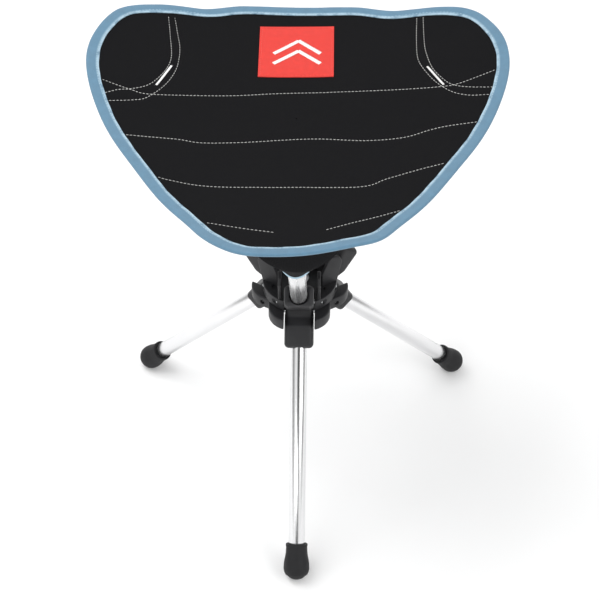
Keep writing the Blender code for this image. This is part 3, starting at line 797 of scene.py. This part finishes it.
class STOOL_OT_arms(bpy.types.Operator):
    """Makes the three arms: socket, tube and tip plug"""
    bl_idname = "stool.arms"
    bl_label = "Arms"

    def execute(self, context):
        for side in SIDES:
            make_socket("arm", side, "arm_fold", -ARM_ANGLE, ARM_SOCKET_LENGTH, MATERIALS["nylon"])
            make_tube("arm", side, "arm_fold", -ARM_ANGLE, ARM_LENGTH - 3.3 * MM, MATERIALS["aluminium"])
            make_tip(side, MATERIALS["nylon"])
        return {"FINISHED"}


# Sling

EDGE_WAVES = (184.6 * MM, 24.5 * MM, 3.4 * MM, 0.9 * MM)
HEIGHT_WAVES = (441.0 * MM, 8.0 * MM, 2.0 * MM)
# How the sewn edge departs from its pattern: (turn from the front arm, half width, amount out).
EDGE_PULLS = ((0, 10, -2.7 * MM), (8, 9, -6.5 * MM), (-14, 7, 4.5 * MM), (22, 6, 4 * MM), (-22, 6, 4 * MM),
              (129.5, 7, 5.5 * MM), (-129.5, 7, 5.5 * MM), (149, 8, -7 * MM), (-149, 8, -7 * MM),
              (180, 25, -4 * MM), (-180, 25, -4 * MM))
CENTRE_HEIGHT = 425.0 * MM
TAPE_FOLD = 2.2 * MM
LEAD = radians(4.2)
SEAM_DEPTH, SEAM_WIDTH = 0.7 * MM, 1.7 * MM
CLOTH_RINGS, CLOTH_STEPS = 118, 132
BINDING_STEPS = 240


def waves(terms, turn):
    return terms[0] + sum(wave * np.cos(3 * (i + 1) * turn) for i, wave in enumerate(terms[1:]))


def off_front(x, y):
    """Turn of a point from the front arm's direction, from -pi to pi."""
    turn = np.arctan2(y, x) - FRONT
    return (turn + pi) % (2 * pi) - pi


def edge_radius(turn):
    """Distance of the sling's edge from the swivel axis."""
    turn = (turn + pi) % (2 * pi) - pi
    radius = waves(EDGE_WAVES, turn)
    for at, width, amount in EDGE_PULLS:
        radius = radius + amount * np.exp(-((turn - radians(at)) / radians(width)) ** 2)
    return radius


def edge_point(turn):
    """The edge's place on the sling's plan."""
    radius = edge_radius(turn - FRONT)
    return Vector((radius * cos(turn), radius * sin(turn)))


def sling_height(x, y):
    """Height of the sling's middle surface: a dish that rises to its edge, higher at the arms."""
    turn = off_front(x, y)
    out = np.hypot(x, y) / waves(EDGE_WAVES, turn)
    return CENTRE_HEIGHT + (waves(HEIGHT_WAVES, turn) - CENTRE_HEIGHT) * out**2


def arm_share(points, side):
    """How much each sling point turns with an arm as the arm folds: all of it at the tip, and further in
    just enough to stay clear of the tube. It fades to nothing half-way to the next arm."""
    across = Matrix.Rotation(-SIDES[side], 3, "Z")
    flat = points @ np.array(across).T
    lift = np.arctan2(flat[:, 2] - ARM_PIN[1], flat[:, 0] - ARM_PIN[0])
    share = np.clip(1 - (lift - ARM_ANGLE - LEAD) / ARM_FOLD, 0, 1)
    share = np.where(flat[:, 0] > ARM_PIN[0] - 20 * MM, share, 0)
    away = np.abs(np.arctan2(flat[:, 1], flat[:, 0]))
    fade = np.clip((SECTOR - away) / (SECTOR - radians(20)), 0, 1)
    return share * fade * fade * (3 - 2 * fade)


def hang(obj, side):
    """Sets a sling piece on the frame, and lets it turn with the arm that its sector belongs to."""
    mesh = obj.data
    points = np.array([vertex.co for vertex in mesh.vertices], float).reshape(-1, 3)
    share = arm_share(points, side)
    mesh.transform(Matrix.Translation(AXIS + Vector((bpy.context.scene.sling_sizes.shift, 0, 0))))
    out = Vector((cos(SIDES[side]), sin(SIDES[side]), 0))
    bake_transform(obj, "seat_base", f"arm_{side}", AXIS + out * 10 * MM, AXIS + out * 180 * MM)
    mesh.attributes["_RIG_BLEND"].data.foreach_set("value", share.astype(np.float32))
    return obj


def smooth_line(points, step=1 * MM):
    """A smooth line through (x, y) points in millimetres, on the sling's plan."""
    knots = [Vector(point) * MM for point in points]
    ends = [2 * knots[0] - knots[1]] + knots + [2 * knots[-1] - knots[-2]]
    line = []
    for a, b, c, d in zip(ends, ends[1:], ends[2:], ends[3:]):
        count = max(2, int((c - b).length / step))
        for i in range(count):
            t = i / count
            line.append(0.5 * (2 * b + (c - a) * t + (2 * a - 5 * b + 4 * c - d) * t**2
                               + (3 * b - a - 3 * c + d) * t**3))
    line.append(knots[-1])
    return line


# Rows of stitches across the sling, and a pair of curves over each rear pocket, in millimetres from the
# swivel axis.
ROWS = (
    ((-177, 33), (-151, 25), (-136, 22), (-96, 26), (-57, 30), (-16, 36), (30, 38), (67, 38), (132, 37),
     (148, 39), (167, 46), (180, 51)),
    ((-153, -36), (-107, -36), (-85, -39), (-50, -36), (-10, -31), (22, -29), (62, -32), (96, -29),
     (120, -20), (138, -16), (164, -14)),
    ((-117, -93), (-107, -96), (-71, -102), (5, -101), (58, -99), (80, -88), (107, -77), (129, -70)),
    ((-71, -158), (-52, -163), (-29, -168), (-17, -171)),
    ((29, -165), (56, -152), (89, -136)),
)
# The outer and inner curve of the right pocket, then the inner and outer curve of the left one.
POCKET_CURVES = (
    ((112, 134), (111, 109), (111, 85), (113, 72), (119, 58), (128, 43), (141, 29), (156, 22), (173, 20)),
    ((118, 134), (118, 108), (119, 88), (124, 65), (132, 50), (140, 40), (149, 35), (160, 32), (177, 29)),
    ((-118, 130), (-114, 108), (-111, 90), (-111, 71), (-114, 54), (-123, 34), (-137, 17), (-149, 12),
     (-172, 7)),
    ((-124, 130), (-121, 106), (-118, 77), (-121, 60), (-129, 44), (-138, 33), (-152, 26), (-163, 23),
     (-176, 16)),
)
# Bar tacks across each pair of curves.
TACKS = (((120, 65), (134, 39)), ((-117, 63), (-129, 35)))


def sling_seams():
    return [smooth_line(line) for line in ROWS + POCKET_CURVES]


def seam_relief(points, lines, depth, width):
    """How far a seam pulls the cloth down beside it, with a pucker at each stitch."""
    marks = [(x, y, along * MM) for line in lines for along, (x, y) in enumerate(line)]
    tree = KDTree(len(marks))
    for i, (x, y, _) in enumerate(marks):
        tree.insert((x, y, 0), i)
    tree.balance()
    pitch = bpy.context.scene.sling_sizes.stitch_pitch
    relief = np.zeros(len(points))
    for i, (x, y) in enumerate(points):
        _, index, gap = tree.find((x, y, 0))
        if gap < 4 * width:
            pucker = 0.16 * depth * cos(2 * pi * marks[index][2] / pitch)
            relief[i] = -depth * exp(-(gap / width) ** 2) + pucker * exp(-(gap / (2 * width)) ** 2)
    return relief


def drape(x, y):
    """Slack of the cloth: soft folds that run in from each arm, and a gentle unevenness."""
    turn = off_front(x, y)
    out = np.hypot(x, y) / waves(EDGE_WAVES, turn)
    fan = np.cos(3 * turn)
    folds = 0.7 * MM * np.sin(18 * turn + 2.5 * out) * np.clip(fan, 0, 1) * out**3
    uneven = 0.8 * MM * np.sin(31 * x + 1.0) * np.sin(27 * y + 2.0) * out * (1.2 - out)
    return folds + uneven


def sector_turns(side, count):
    """Turns across a side's third of the sling."""
    return [SIDES[side] - SECTOR + 2 * SECTOR * i / count for i in range(count + 1)]


def close_sheet(grids, uvs):
    """A closed cloth from its upper and lower grid of points, with flat sizes as its UV map."""
    bm = bmesh.new()
    layer = bm.loops.layers.uv.new("flat")
    high, low = [[[bm.verts.new(point) for point in row] for row in grid] for grid in grids]
    place = {}
    for grid in (high, low):
        for row, flat_row in zip(grid, uvs):
            place.update(zip(row, flat_row))

    def face(corners):
        made = bm.faces.new(list(dict.fromkeys(corners)))
        for loop in made.loops:
            loop[layer].uv = place[loop.vert]

    rows, columns = len(high), len(high[0])
    for i in range(rows - 1):
        for j in range(columns - 1):
            for grid in (high, low):
                face([grid[i][j], grid[i + 1][j], grid[i + 1][j + 1], grid[i][j + 1]])
    rim = [(0, j) for j in range(columns)] + [(i, columns - 1) for i in range(1, rows)]
    rim += [(rows - 1, j) for j in range(columns - 2, -1, -1)] + [(i, 0) for i in range(rows - 2, 0, -1)]
    for (i, j), (k, m) in zip(rim, rim[1:] + rim[:1]):
        face([low[i][j], low[k][m], high[k][m], high[i][j]])
    bmesh.ops.remove_doubles(bm, verts=bm.verts, dist=0.002 * MM)
    bmesh.ops.recalc_face_normals(bm, faces=bm.faces)
    return bm


def skin(rings, flats):
    """A closed solid over rings of points, with each point's flat place as its UV map."""
    bm = bmesh.new()
    layer = bm.loops.layers.uv.new("flat")
    place, loops = {}, []
    for ring, flat in zip(rings, flats):
        loops.append([bm.verts.new(point) for point in ring])
        place.update(zip(loops[-1], flat))
    for low, high in zip(loops, loops[1:]):
        for i, vert in enumerate(low):
            j = (i + 1) % len(low)
            bm.faces.new([vert, low[j], high[j], high[i]])
    bm.faces.new(loops[0])
    bm.faces.new(list(reversed(loops[-1])))
    for face in bm.faces:
        for loop in face.loops:
            loop[layer].uv = place[loop.vert]
    bmesh.ops.recalc_face_normals(bm, faces=bm.faces)
    return bm


class STOOL_OT_sling(bpy.types.Operator):
    """Cuts the sling's cloth and hangs it between the arms"""
    bl_idname = "stool.sling"
    bl_label = "Sling cloth"

    def execute(self, context):
        half = context.scene.sling_sizes.cloth / 2
        lines = sling_seams()
        petals = []
        for side in SIDES:
            turns = sector_turns(side, CLOTH_STEPS)
            spots = []
            for i in range(CLOTH_RINGS + 1):
                share = 0.004 + 0.996 * i / CLOTH_RINGS
                for turn in turns:
                    reach = (edge_radius(turn - FRONT) - TAPE_FOLD - GAP) * share
                    spots.append((reach * cos(turn), reach * sin(turn)))
            spots = np.array(spots)
            height = (sling_height(spots[:, 0], spots[:, 1]) + drape(spots[:, 0], spots[:, 1])
                      + seam_relief(spots, lines, SEAM_DEPTH, SEAM_WIDTH))
            flat = [tuple(spot) for spot in spots]
            rows = range(0, len(flat), len(turns))
            grids = [[[(*flat[k], height[k] + lift) for k in range(row, row + len(turns))] for row in rows]
                     for lift in (half, -half)]
            uvs = [flat[row:row + len(turns)] for row in rows]
            cloth = as_piece(f"sling_cloth_{side}", close_sheet(grids, uvs), MATERIALS["cloth"], sharp=50)
            hang(cloth, side)
            petals.append(cloth)
        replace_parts(petals[0], "seat_panel")
        return {"FINISHED"}


def tape_section(width, half_height, thickness, steps=8):
    """Folded tape's section as (inset, lift): round over the edge, with a thin step on each face."""
    outer = arc((half_height, 0), half_height, pi / 2, 3 * pi / 2, steps)
    crown = [(half_height + (width - half_height) * i / 6, half_height + 0.25 * MM * sin(pi * i / 6))
             for i in range(1, 7)]
    inner = [(width + 0.1 * MM, half_height - thickness), (half_height * 1.6, half_height - thickness)]
    top = list(reversed(inner)) + list(reversed(crown))
    bottom = [(x, -z) for x, z in reversed(top)]
    return top + outer + bottom


class STOOL_OT_binding(bpy.types.Operator):
    """Folds the blue tape over the sling's edge"""
    bl_idname = "stool.binding"
    bl_label = "Edge binding"

    def execute(self, context):
        sizes = context.scene.sling_sizes
        half_height = sizes.cloth / 2 + sizes.tape + 0.25 * MM
        section = tape_section(sizes.tape_width, half_height, sizes.tape)
        pieces = []
        for side in SIDES:
            rings, flats, along, last = [], [], 0.0, None
            for step, turn in enumerate(sector_turns(side, BINDING_STEPS)):
                here = edge_point(turn)
                along += (here - last).length if last is not None else 0.0
                last = here
                rings.append(self.ring(turn, section, along, step % BINDING_STEPS))
                flats.append([(along, abs(inset)) for inset, _ in section])
            piece = as_piece(f"edge_binding_{side}", skin(rings, flats), MATERIALS["tape"], sharp=50)
            hang(piece, side)
            pieces.append((piece, along))
        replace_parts(pieces[0][0], "seat_binding")
        for piece, along in pieces:
            side = piece.name.rsplit("_", 1)[1]
        return {"FINISHED"}

    def ring(self, turn, section, along, step):
        """One section of the tape, square to the edge, with a small pucker from its stitches."""
        here = edge_point(turn)
        run = (edge_point(turn + radians(0.3)) - edge_point(turn - radians(0.3))).normalized()
        inward = Vector((-run.y, run.x))
        calm = min(1.0, step / 12, (BINDING_STEPS - step) / 12)
        wave = 0.25 * MM * sin(along / (5.5 * MM)) * sin(along / (13 * MM) + 1) * calm
        points = []
        for inset, lift in section:
            spot = here + inward * (inset + wave * inset / (12 * MM))
            middle = sling_height(spot.x, spot.y) + float(drape(spot.x, spot.y))
            points.append((spot.x, spot.y, middle + lift + 0.5 * wave * (1 if lift > 0 else 0)))
        return points


LABEL_MIDDLE = (-1.8 * MM, 94.8 * MM)
LABEL_HALF = (35.2 * MM, 35.8 * MM)
LABEL_TURN = radians(1.4)
LABEL_THICKNESS = 0.8 * MM
HALVES = {"left": (-1, 0), "right": (0, 1)}


def label_point(u, v):
    """A point of the label at shares of its half width and half length, on the sling's plan."""
    x, y = LABEL_HALF[0] * u, LABEL_HALF[1] * v
    return LABEL_MIDDLE[0] * abs(u) + x, LABEL_MIDDLE[1] + y + x * sin(LABEL_TURN)


def on_cloth(x, y, lift):
    top = bpy.context.scene.sling_sizes.cloth / 2
    return (x, y, float(sling_height(x, y) + drape(x, y)) + top + lift)


class STOOL_OT_label(bpy.types.Operator):
    """Weaves the red label and sews it on"""
    bl_idname = "stool.label"
    bl_label = "Label"

    def execute(self, context):
        pieces = []
        for side, (start, end) in HALVES.items():
            rows = [[(start + (end - start) * i / 36, -1 + 2 * j / 72) for j in range(73)]
                    for i in range(37)]
            grids = [[[on_cloth(*label_point(u, v), self.lift(u, v, lift)) for u, v in row] for row in rows]
                     for lift in (LABEL_THICKNESS, 0.05 * MM)]
            uvs = [[label_point(u, v) for u, v in row] for row in rows]
            piece = as_piece(f"seat_label_{side}", close_sheet(grids, uvs), MATERIALS["label"], sharp=50)
            hang(piece, side)
            pieces.append(piece)
        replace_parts(pieces[0], "seat_label")
        return {"FINISHED"}

    def lift(self, u, v, lift):
        """The label is pulled down along its stitched border and bellies a little inside it."""
        border = min(1 - abs(u), 1 - abs(v))
        belly = 0.5 * MM * min(1.0, border / 0.35) if lift > 0.1 * MM else 0.0
        return lift + belly - 0.15 * MM * exp(-((border - 0.06) / 0.03) ** 2)


# Stitches

BEAD_SEGMENTS, BEAD_RINGS = 8, 6
LOOP_POINTS = BEAD_SEGMENTS * (BEAD_RINGS - 1) + 2


def stitch_tree():
    """Geometry nodes that lay one thread loop at each step along a seam."""
    tree = bpy.data.node_groups.new("sewn_stitches", "GeometryNodeTree")
    tree.interface.new_socket("Seam", in_out="INPUT", socket_type="NodeSocketGeometry")
    for name, default in (("Pitch", 3.3 * MM), ("Length", 2.5 * MM), ("Thickness", 0.75 * MM),
                          ("Slant", 0.0)):
        socket = tree.interface.new_socket(name, in_out="INPUT", socket_type="NodeSocketFloat")
        socket.default_value = default
    tree.interface.new_socket("Thread", in_out="INPUT", socket_type="NodeSocketMaterial")
    tree.interface.new_socket("Stitches", in_out="OUTPUT", socket_type="NodeSocketGeometry")
    given = node(tree, "NodeGroupInput").outputs
    curve = node(tree, "GeometryNodeMeshToCurve", {0: given["Seam"]}).outputs[0]
    steps = node(tree, "GeometryNodeResampleCurve", {"Curve": curve, "Length": given["Pitch"]},
                 mode="LENGTH").outputs[0]
    bead = node(tree, "GeometryNodeMeshUVSphere",
                {"Segments": BEAD_SEGMENTS, "Rings": BEAD_RINGS, "Radius": 0.5}).outputs["Mesh"]
    size = node(tree, "ShaderNodeCombineXYZ", {0: given["Length"], 1: given["Thickness"],
                                               2: given["Thickness"]}).outputs[0]
    loop = node(tree, "GeometryNodeTransform", {"Geometry": bead, "Scale": size}).outputs[0]
    tangent = node(tree, "GeometryNodeInputTangent").outputs[0]
    aim = node(tree, "FunctionNodeAlignRotationToVector", {"Vector": tangent}, axis="X").outputs[0]
    slant = node(tree, "ShaderNodeCombineXYZ", {2: given["Slant"]}).outputs[0]
    turn = node(tree, "FunctionNodeRotateRotation", {0: aim, 1: slant}, rotation_space="LOCAL").outputs[0]
    sewn = node(tree, "GeometryNodeInstanceOnPoints", {"Points": steps, "Instance": loop,
                                                       "Rotation": turn}).outputs[0]
    real = node(tree, "GeometryNodeRealizeInstances", {0: sewn}).outputs[0]
    smooth = node(tree, "GeometryNodeSetShadeSmooth", {0: real}).outputs[0]
    done = node(tree, "GeometryNodeSetMaterial", {"Geometry": smooth, "Material": given["Thread"]})
    node(tree, "NodeGroupOutput", {0: done.outputs[0]})
    return tree


def sew(lines, material, pitch, length, thickness, slant=0.0):
    """Runs the stitch tree along lines of 3-D points and returns the loops as one mesh."""
    mesh = bpy.data.meshes.new("seams")
    points, edges = [], []
    for line in lines:
        edges += [(len(points) + i, len(points) + i + 1) for i in range(len(line) - 1)]
        points += line
    mesh.from_pydata(points, edges, [])
    obj = add_object("seams", mesh)
    tree = bpy.data.node_groups.get("sewn_stitches") or stitch_tree()
    modifier = obj.modifiers.new("stitches", "NODES")
    modifier.node_group = tree
    values = {"Pitch": pitch, "Length": length, "Thickness": thickness, "Slant": slant, "Thread": material}
    for item in tree.interface.items_tree:
        if item.name in values:
            modifier[item.identifier] = values[item.name]
    settle(obj)
    result = obj.data
    bpy.data.objects.remove(obj, do_unlink=True)
    return result


def share_out(name, mesh, material):
    """Makes one piece of the stitches in each side's third of the sling."""
    points = np.array([vertex.co for vertex in mesh.vertices], float).reshape(-1, LOOP_POINTS, 3)
    middles = points.mean(axis=1)
    faces = [tuple(face.vertices) for face in mesh.polygons if face.vertices[0] < LOOP_POINTS]
    for side, turn in SIDES.items():
        away = (np.arctan2(middles[:, 1], middles[:, 0]) - turn + pi) % (2 * pi) - pi
        mine = points[np.abs(away) <= SECTOR]
        if not len(mine):
            continue
        piece_mesh = bpy.data.meshes.new(f"{name}_{side}")
        every = [tuple(v + k * LOOP_POINTS for v in face) for k in range(len(mine)) for face in faces]
        piece_mesh.from_pydata(mine.reshape(-1, 3).tolist(), [], every)
        piece_mesh.shade_smooth()
        piece_mesh.materials.append(material)
        hang(add_object(f"{name}_{side}", piece_mesh), side)


def lifted(line, lift):
    return [on_cloth(x, y, lift) for x, y in line]


def tape_line(inset, lift):
    """A line round the sling at an inset from its edge."""
    line = []
    for step in range(721):
        turn = FRONT + 2 * pi * step / 720
        radius = float(edge_radius(turn - FRONT)) - inset
        line.append(on_cloth(radius * cos(turn), radius * sin(turn), lift))
    return line


class STOOL_OT_stitching(bpy.types.Operator):
    """Sews the rows, the pocket curves, the bar tacks, the binding and the label"""
    bl_idname = "stool.stitching"
    bl_label = "Stitching"

    def execute(self, context):
        sizes = context.scene.sling_sizes
        run = (sizes.stitch_pitch, sizes.stitch, sizes.thread)
        thread = MATERIALS["thread"]
        seams = [lifted(line, -0.45 * MM) for line in sling_seams()]
        share_out("row_stitches", sew(seams, thread, *run), thread)
        tacks = [lifted(smooth_line(line), 0.1 * MM) for line in TACKS]
        white = MATERIALS["label_thread"]
        share_out("bar_tacks", sew(tacks, white, 0.55 * MM, 2.6 * MM, 0.6 * MM, pi / 2), white)
        blue = MATERIALS["tape_thread"]
        hem = [tape_line(sizes.tape_width - 1.6 * MM, sizes.tape + 0.28 * MM)]
        share_out("binding_stitches", sew(hem, blue, *run), blue)
        self.label_stitches(run)
        return {"FINISHED"}

    def label_stitches(self, run):
        red, white = MATERIALS["red_thread"], MATERIALS["label_thread"]
        edge = 0.94
        corners = [(-edge, -edge), (edge, -edge), (edge, edge), (-edge, edge), (-edge, -edge)]
        border = [on_cloth(*label_point(a[0] + (b[0] - a[0]) * i / 40, a[1] + (b[1] - a[1]) * i / 40),
                           LABEL_THICKNESS + 0.05 * MM)
                  for a, b in zip(corners, corners[1:]) for i in range(40)]
        share_out("label_border_stitches", sew([border], red, *run), red)
        marks = []
        for peak, reach in ((0.42, 0.62), (0.02, 0.62)):
            for mirror in (-1, 1):
                marks.append([on_cloth(*label_point(mirror * reach * (1 - i / 20), peak - 0.5 * (1 - i / 20)),
                                       LABEL_THICKNESS + 0.55 * MM) for i in range(21)])
        share_out("label_chevrons", sew(marks, white, 0.5 * MM, 5.0 * MM, 0.6 * MM, pi / 2), white)


# Pockets

POCKET_MOUTH = 32.0 * MM
POCKET_MOUTH_HALF = 23.0 * MM
POCKET_MOUTH_OUT = 151.0 * MM
POCKET_END_TURN = radians(12.7)
POCKET_EDGE_INSET = 14.0 * MM
POCKET_THICKNESS = 1.4 * MM
POCKET_CLEARANCE = 0.7 * MM
POCKET_ROUND = 1.6
POCKET_COLUMNS = 40
PIPING_R = 1.9 * MM


def pocket_rows():
    """Points of a pocket's inner face under the front corner: from its mouth to its hem by the edge."""
    ease = TIP_R + POCKET_CLEARANCE
    under = 1.2 * MM + GAP + POCKET_THICKNESS
    hem = []
    for step in range(POCKET_COLUMNS + 1):
        turn = POCKET_END_TURN * (2 * step / POCKET_COLUMNS - 1)
        radius = float(waves(EDGE_WAVES, turn)) - POCKET_EDGE_INSET
        x, y = radius * sin(turn), -radius * cos(turn)
        hem.append((x, y, float(sling_height(x, y)) - under))
    rows = []
    for k in range(13):
        part = k / 12 * 0.78
        back = POCKET_MOUTH + (2 * MM - POCKET_MOUTH) * k / 12
        along = ARM_LENGTH - back
        out = ARM_PIN[0] + along * cos(ARM_ANGLE) + ease * sin(ARM_ANGLE)
        up = ARM_PIN[1] + along * sin(ARM_ANGLE) - ease * cos(ARM_ANGLE)
        half = POCKET_MOUTH_HALF + (hem[-1][0] - POCKET_MOUTH_HALF) * part
        side_out = POCKET_MOUTH_OUT + (-hem[-1][1] - POCKET_MOUTH_OUT) * part
        row = []
        for step in range(POCKET_COLUMNS + 1):
            share = 2 * step / POCKET_COLUMNS - 1
            x = half * sin(share * pi / 2)
            y = -out - (side_out - out) * share**2
            top = float(sling_height(x, y)) - under
            crease = 0.35 * MM * sin(9 * share + 4 * part) * (1 - share**2)
            row.append((x, y, top + (up - top) * max(0.0, cos(share * pi / 2)) ** POCKET_ROUND + crease))
        rows.append(row)
    last = rows[-1]
    for share in (0.35, 0.7, 1.0):
        rows.append([tuple(a + (b - a) * share for a, b in zip(p, q)) for p, q in zip(last, hem)])
    return rows


def grid_normal(grid, i, j):
    """Direction square to a grid of points at one of them, pointing down and outwards."""
    low, high = Vector(grid[max(i - 1, 0)][j]), Vector(grid[min(i + 1, len(grid) - 1)][j])
    left, right = Vector(grid[i][max(j - 1, 0)]), Vector(grid[i][min(j + 1, len(grid[0]) - 1)])
    return (right - left).cross(high - low).normalized()


def piping(path, radius, steps=12):
    """A round cord along a path of points, with closed ends and its length as its UV map."""
    rings, flats, along = [], [], 0.0
    for i, point in enumerate(path):
        ahead, behind = path[min(i + 1, len(path) - 1)], path[max(i - 1, 0)]
        run = (ahead - behind).normalized()
        side = run.cross(Vector((0, 0, 1))).normalized()
        up = side.cross(run)
        along += (point - path[i - 1]).length if i else 0.0
        turns = [2 * pi * k / steps for k in range(steps)]
        rings.append([point + (side * cos(turn) + up * sin(turn)) * radius for turn in turns])
        flats.append([(along, 0.0)] * steps)
    return skin(rings, flats)


class STOOL_OT_pockets(bpy.types.Operator):
    """Sews the pockets that hold the arms' tips, with piping round their mouths"""
    bl_idname = "stool.pockets"
    bl_label = "Corner pockets"

    def execute(self, context):
        inner = pocket_rows()
        outer = [[tuple(Vector(point) + grid_normal(inner, i, j) * POCKET_THICKNESS)
                  for j, point in enumerate(row)] for i, row in enumerate(inner)]
        lengths = [0.0]
        middle = POCKET_COLUMNS // 2
        for a, b in zip(inner, inner[1:]):
            lengths.append(lengths[-1] + (Vector(b[middle]) - Vector(a[middle])).length)
        uvs = [[(2 * POCKET_MOUTH_HALF * j / POCKET_COLUMNS, down) for j in range(POCKET_COLUMNS + 1)]
               for down in lengths]
        mouth = [(Vector(a) + Vector(b)) / 2 for a, b in zip(inner[0], outer[0])]
        for side, turn in SIDES.items():
            place = facing(turn - FRONT)
            pocket = as_piece(f"corner_pocket_{side}", close_sheet((inner, outer), uvs), MATERIALS["cloth"],
                              place, sharp=50)
            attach(pocket, f"arm_{side}")
            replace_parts(pocket, f"seat_pocket_{side}")
            cord = as_piece(f"pocket_piping_{side}", piping(mouth, PIPING_R), MATERIALS["cord"], place)
            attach(cord, f"arm_{side}")
        return {"FINISHED"}


# Stage

VIEW_TARGET = Vector((0.2 * MM, 0, 196 * MM))
VIEW_ELEVATION = radians(44.45)
VIEW_TURN = radians(1.0)
VIEW_DISTANCE = 1790 * MM
LENS = 108.0
# How far to each side the studio's dark gap and grey walls reach, as a direction's share along X.
GAP_EDGE = (0.2, 0.34)
SIDE_EDGE = (0.74, 0.92)
GAP_BLACK, SIDE_GREY, AMBIENT = 0.03, 0.35, 0.85


def add_light(name, size, power, place, target):
    data = bpy.data.lights.new(name, "AREA")
    data.shape, data.size, data.size_y, data.energy = "RECTANGLE", size[0], size[1], power
    lamp = add_object(name, data)
    lamp.location = place
    lamp.rotation_euler = (target - Vector(place)).to_track_quat("-Z", "Y").to_euler()


class STOOL_OT_stage(bpy.types.Operator):
    """Sets the pale floor, the soft studio lights and the camera"""
    bl_idname = "stool.stage"
    bl_label = "Stage"

    def execute(self, context):
        scene = context.scene
        floor = as_piece("stage_floor", self.floor(), matt_floor("painted_pale_board", "#FBFBFB"))
        target = AXIS + Vector((0, 0, 0.25))
        add_light("key_softbox", (1.6, 1.6), 26, (-0.9, 0.3, 2.2), target)
        add_light("fill_softbox", (1.4, 1.0), 12, (1.6, -1.2, 1.4), target)
        add_light("front_softbox", (1.6, 0.6), 8, (-0.6, -2.0, 1.0), target)
        scene.world = self.studio()
        scene.view_settings.view_transform = "Standard"
        camera = bpy.data.cameras.new("studio_camera")
        camera.lens, camera.sensor_width, camera.clip_end = LENS, 36.0, 50
        eye = add_object("studio_camera", camera)
        back = Vector((sin(VIEW_TURN) * cos(VIEW_ELEVATION), -cos(VIEW_TURN) * cos(VIEW_ELEVATION),
                       sin(VIEW_ELEVATION)))
        eye.location = AXIS + VIEW_TARGET + back * VIEW_DISTANCE
        eye.rotation_euler = (-back).to_track_quat("-Z", "Y").to_euler()
        scene.camera = eye
        return {"FINISHED"}

    def studio(self):
        """White studio walls; what the bright tubes mirror has a dark gap in front and grey sides."""
        world = bpy.data.worlds.new("studio")
        world.use_nodes = True
        tree = world.node_tree
        way = node(tree, "ShaderNodeTexCoord").outputs["Generated"]
        apart = node(tree, "ShaderNodeSeparateXYZ", {0: way})
        aside = arithmetic(tree, "ABSOLUTE", apart.outputs["X"])
        front = arithmetic(tree, "MAXIMUM", remapped(tree, aside, *GAP_EDGE),
                           remapped(tree, apart.outputs["Y"], -0.1, 0.1))
        white = arithmetic(tree, "MULTIPLY", front, remapped(tree, aside, *SIDE_EDGE, 1.0, SIDE_GREY))
        mirrored = remapped(tree, white, 0, 1, GAP_BLACK, 1.0)
        path = node(tree, "ShaderNodeLightPath").outputs
        plain = remapped(tree, path["Is Camera Ray"], 0, 1, AMBIENT, 1.0)
        level = node(tree, "ShaderNodeMix", {0: path["Is Glossy Ray"], 2: plain, 3: mirrored}).outputs[0]
        tree.links.new(level, tree.nodes["Background"].inputs["Color"])
        tree.nodes["Background"].inputs["Strength"].default_value = 0.95
        return world

    def floor(self):
        """A wide flat floor."""
        bm = bmesh.new()
        bmesh.ops.create_grid(bm, x_segments=8, y_segments=8, size=6.0)
        return bm


class STOOL_PT_panel(bpy.types.Panel):
    """Lists the stool's steps and sizes"""
    bl_idname = "STOOL_PT_panel"
    bl_label = "Camp stool"
    bl_space_type = "VIEW_3D"
    bl_region_type = "UI"
    bl_category = "Stool"

    def draw(self, context):
        for operator in OPERATORS:
            self.layout.operator(operator.bl_idname)
        for group in (context.scene.stool_sizes, context.scene.sling_sizes, context.scene.stool_colours):
            box = self.layout.box()
            for name in group.__annotations__:
                box.prop(group, name)


OPERATORS = (STOOL_OT_hubs, STOOL_OT_hardware, STOOL_OT_legs, STOOL_OT_arms, STOOL_OT_sling,
             STOOL_OT_binding, STOOL_OT_label, STOOL_OT_stitching, STOOL_OT_pockets, STOOL_OT_stage)
GROUPS = {"stool_sizes": StoolSizes, "sling_sizes": SlingSizes, "stool_colours": StoolColours}
MATERIALS = {}


def register():
    for cls in (*GROUPS.values(), *OPERATORS, STOOL_PT_panel):
        bpy.utils.register_class(cls)
    for name, group in GROUPS.items():
        setattr(bpy.types.Scene, name, PointerProperty(type=group))


def unregister():
    for name in GROUPS:
        delattr(bpy.types.Scene, name)
    for cls in reversed((*GROUPS.values(), *OPERATORS, STOOL_PT_panel)):
        bpy.utils.unregister_class(cls)


def main():
    register()
    scene = bpy.context.scene
    MATERIALS.update(make_materials(scene.stool_colours, scene.sling_sizes))
    for operator in OPERATORS:
        area, name = operator.bl_idname.split(".")
        getattr(getattr(bpy.ops, area), name)()


if __name__ == "__main__":
    main()
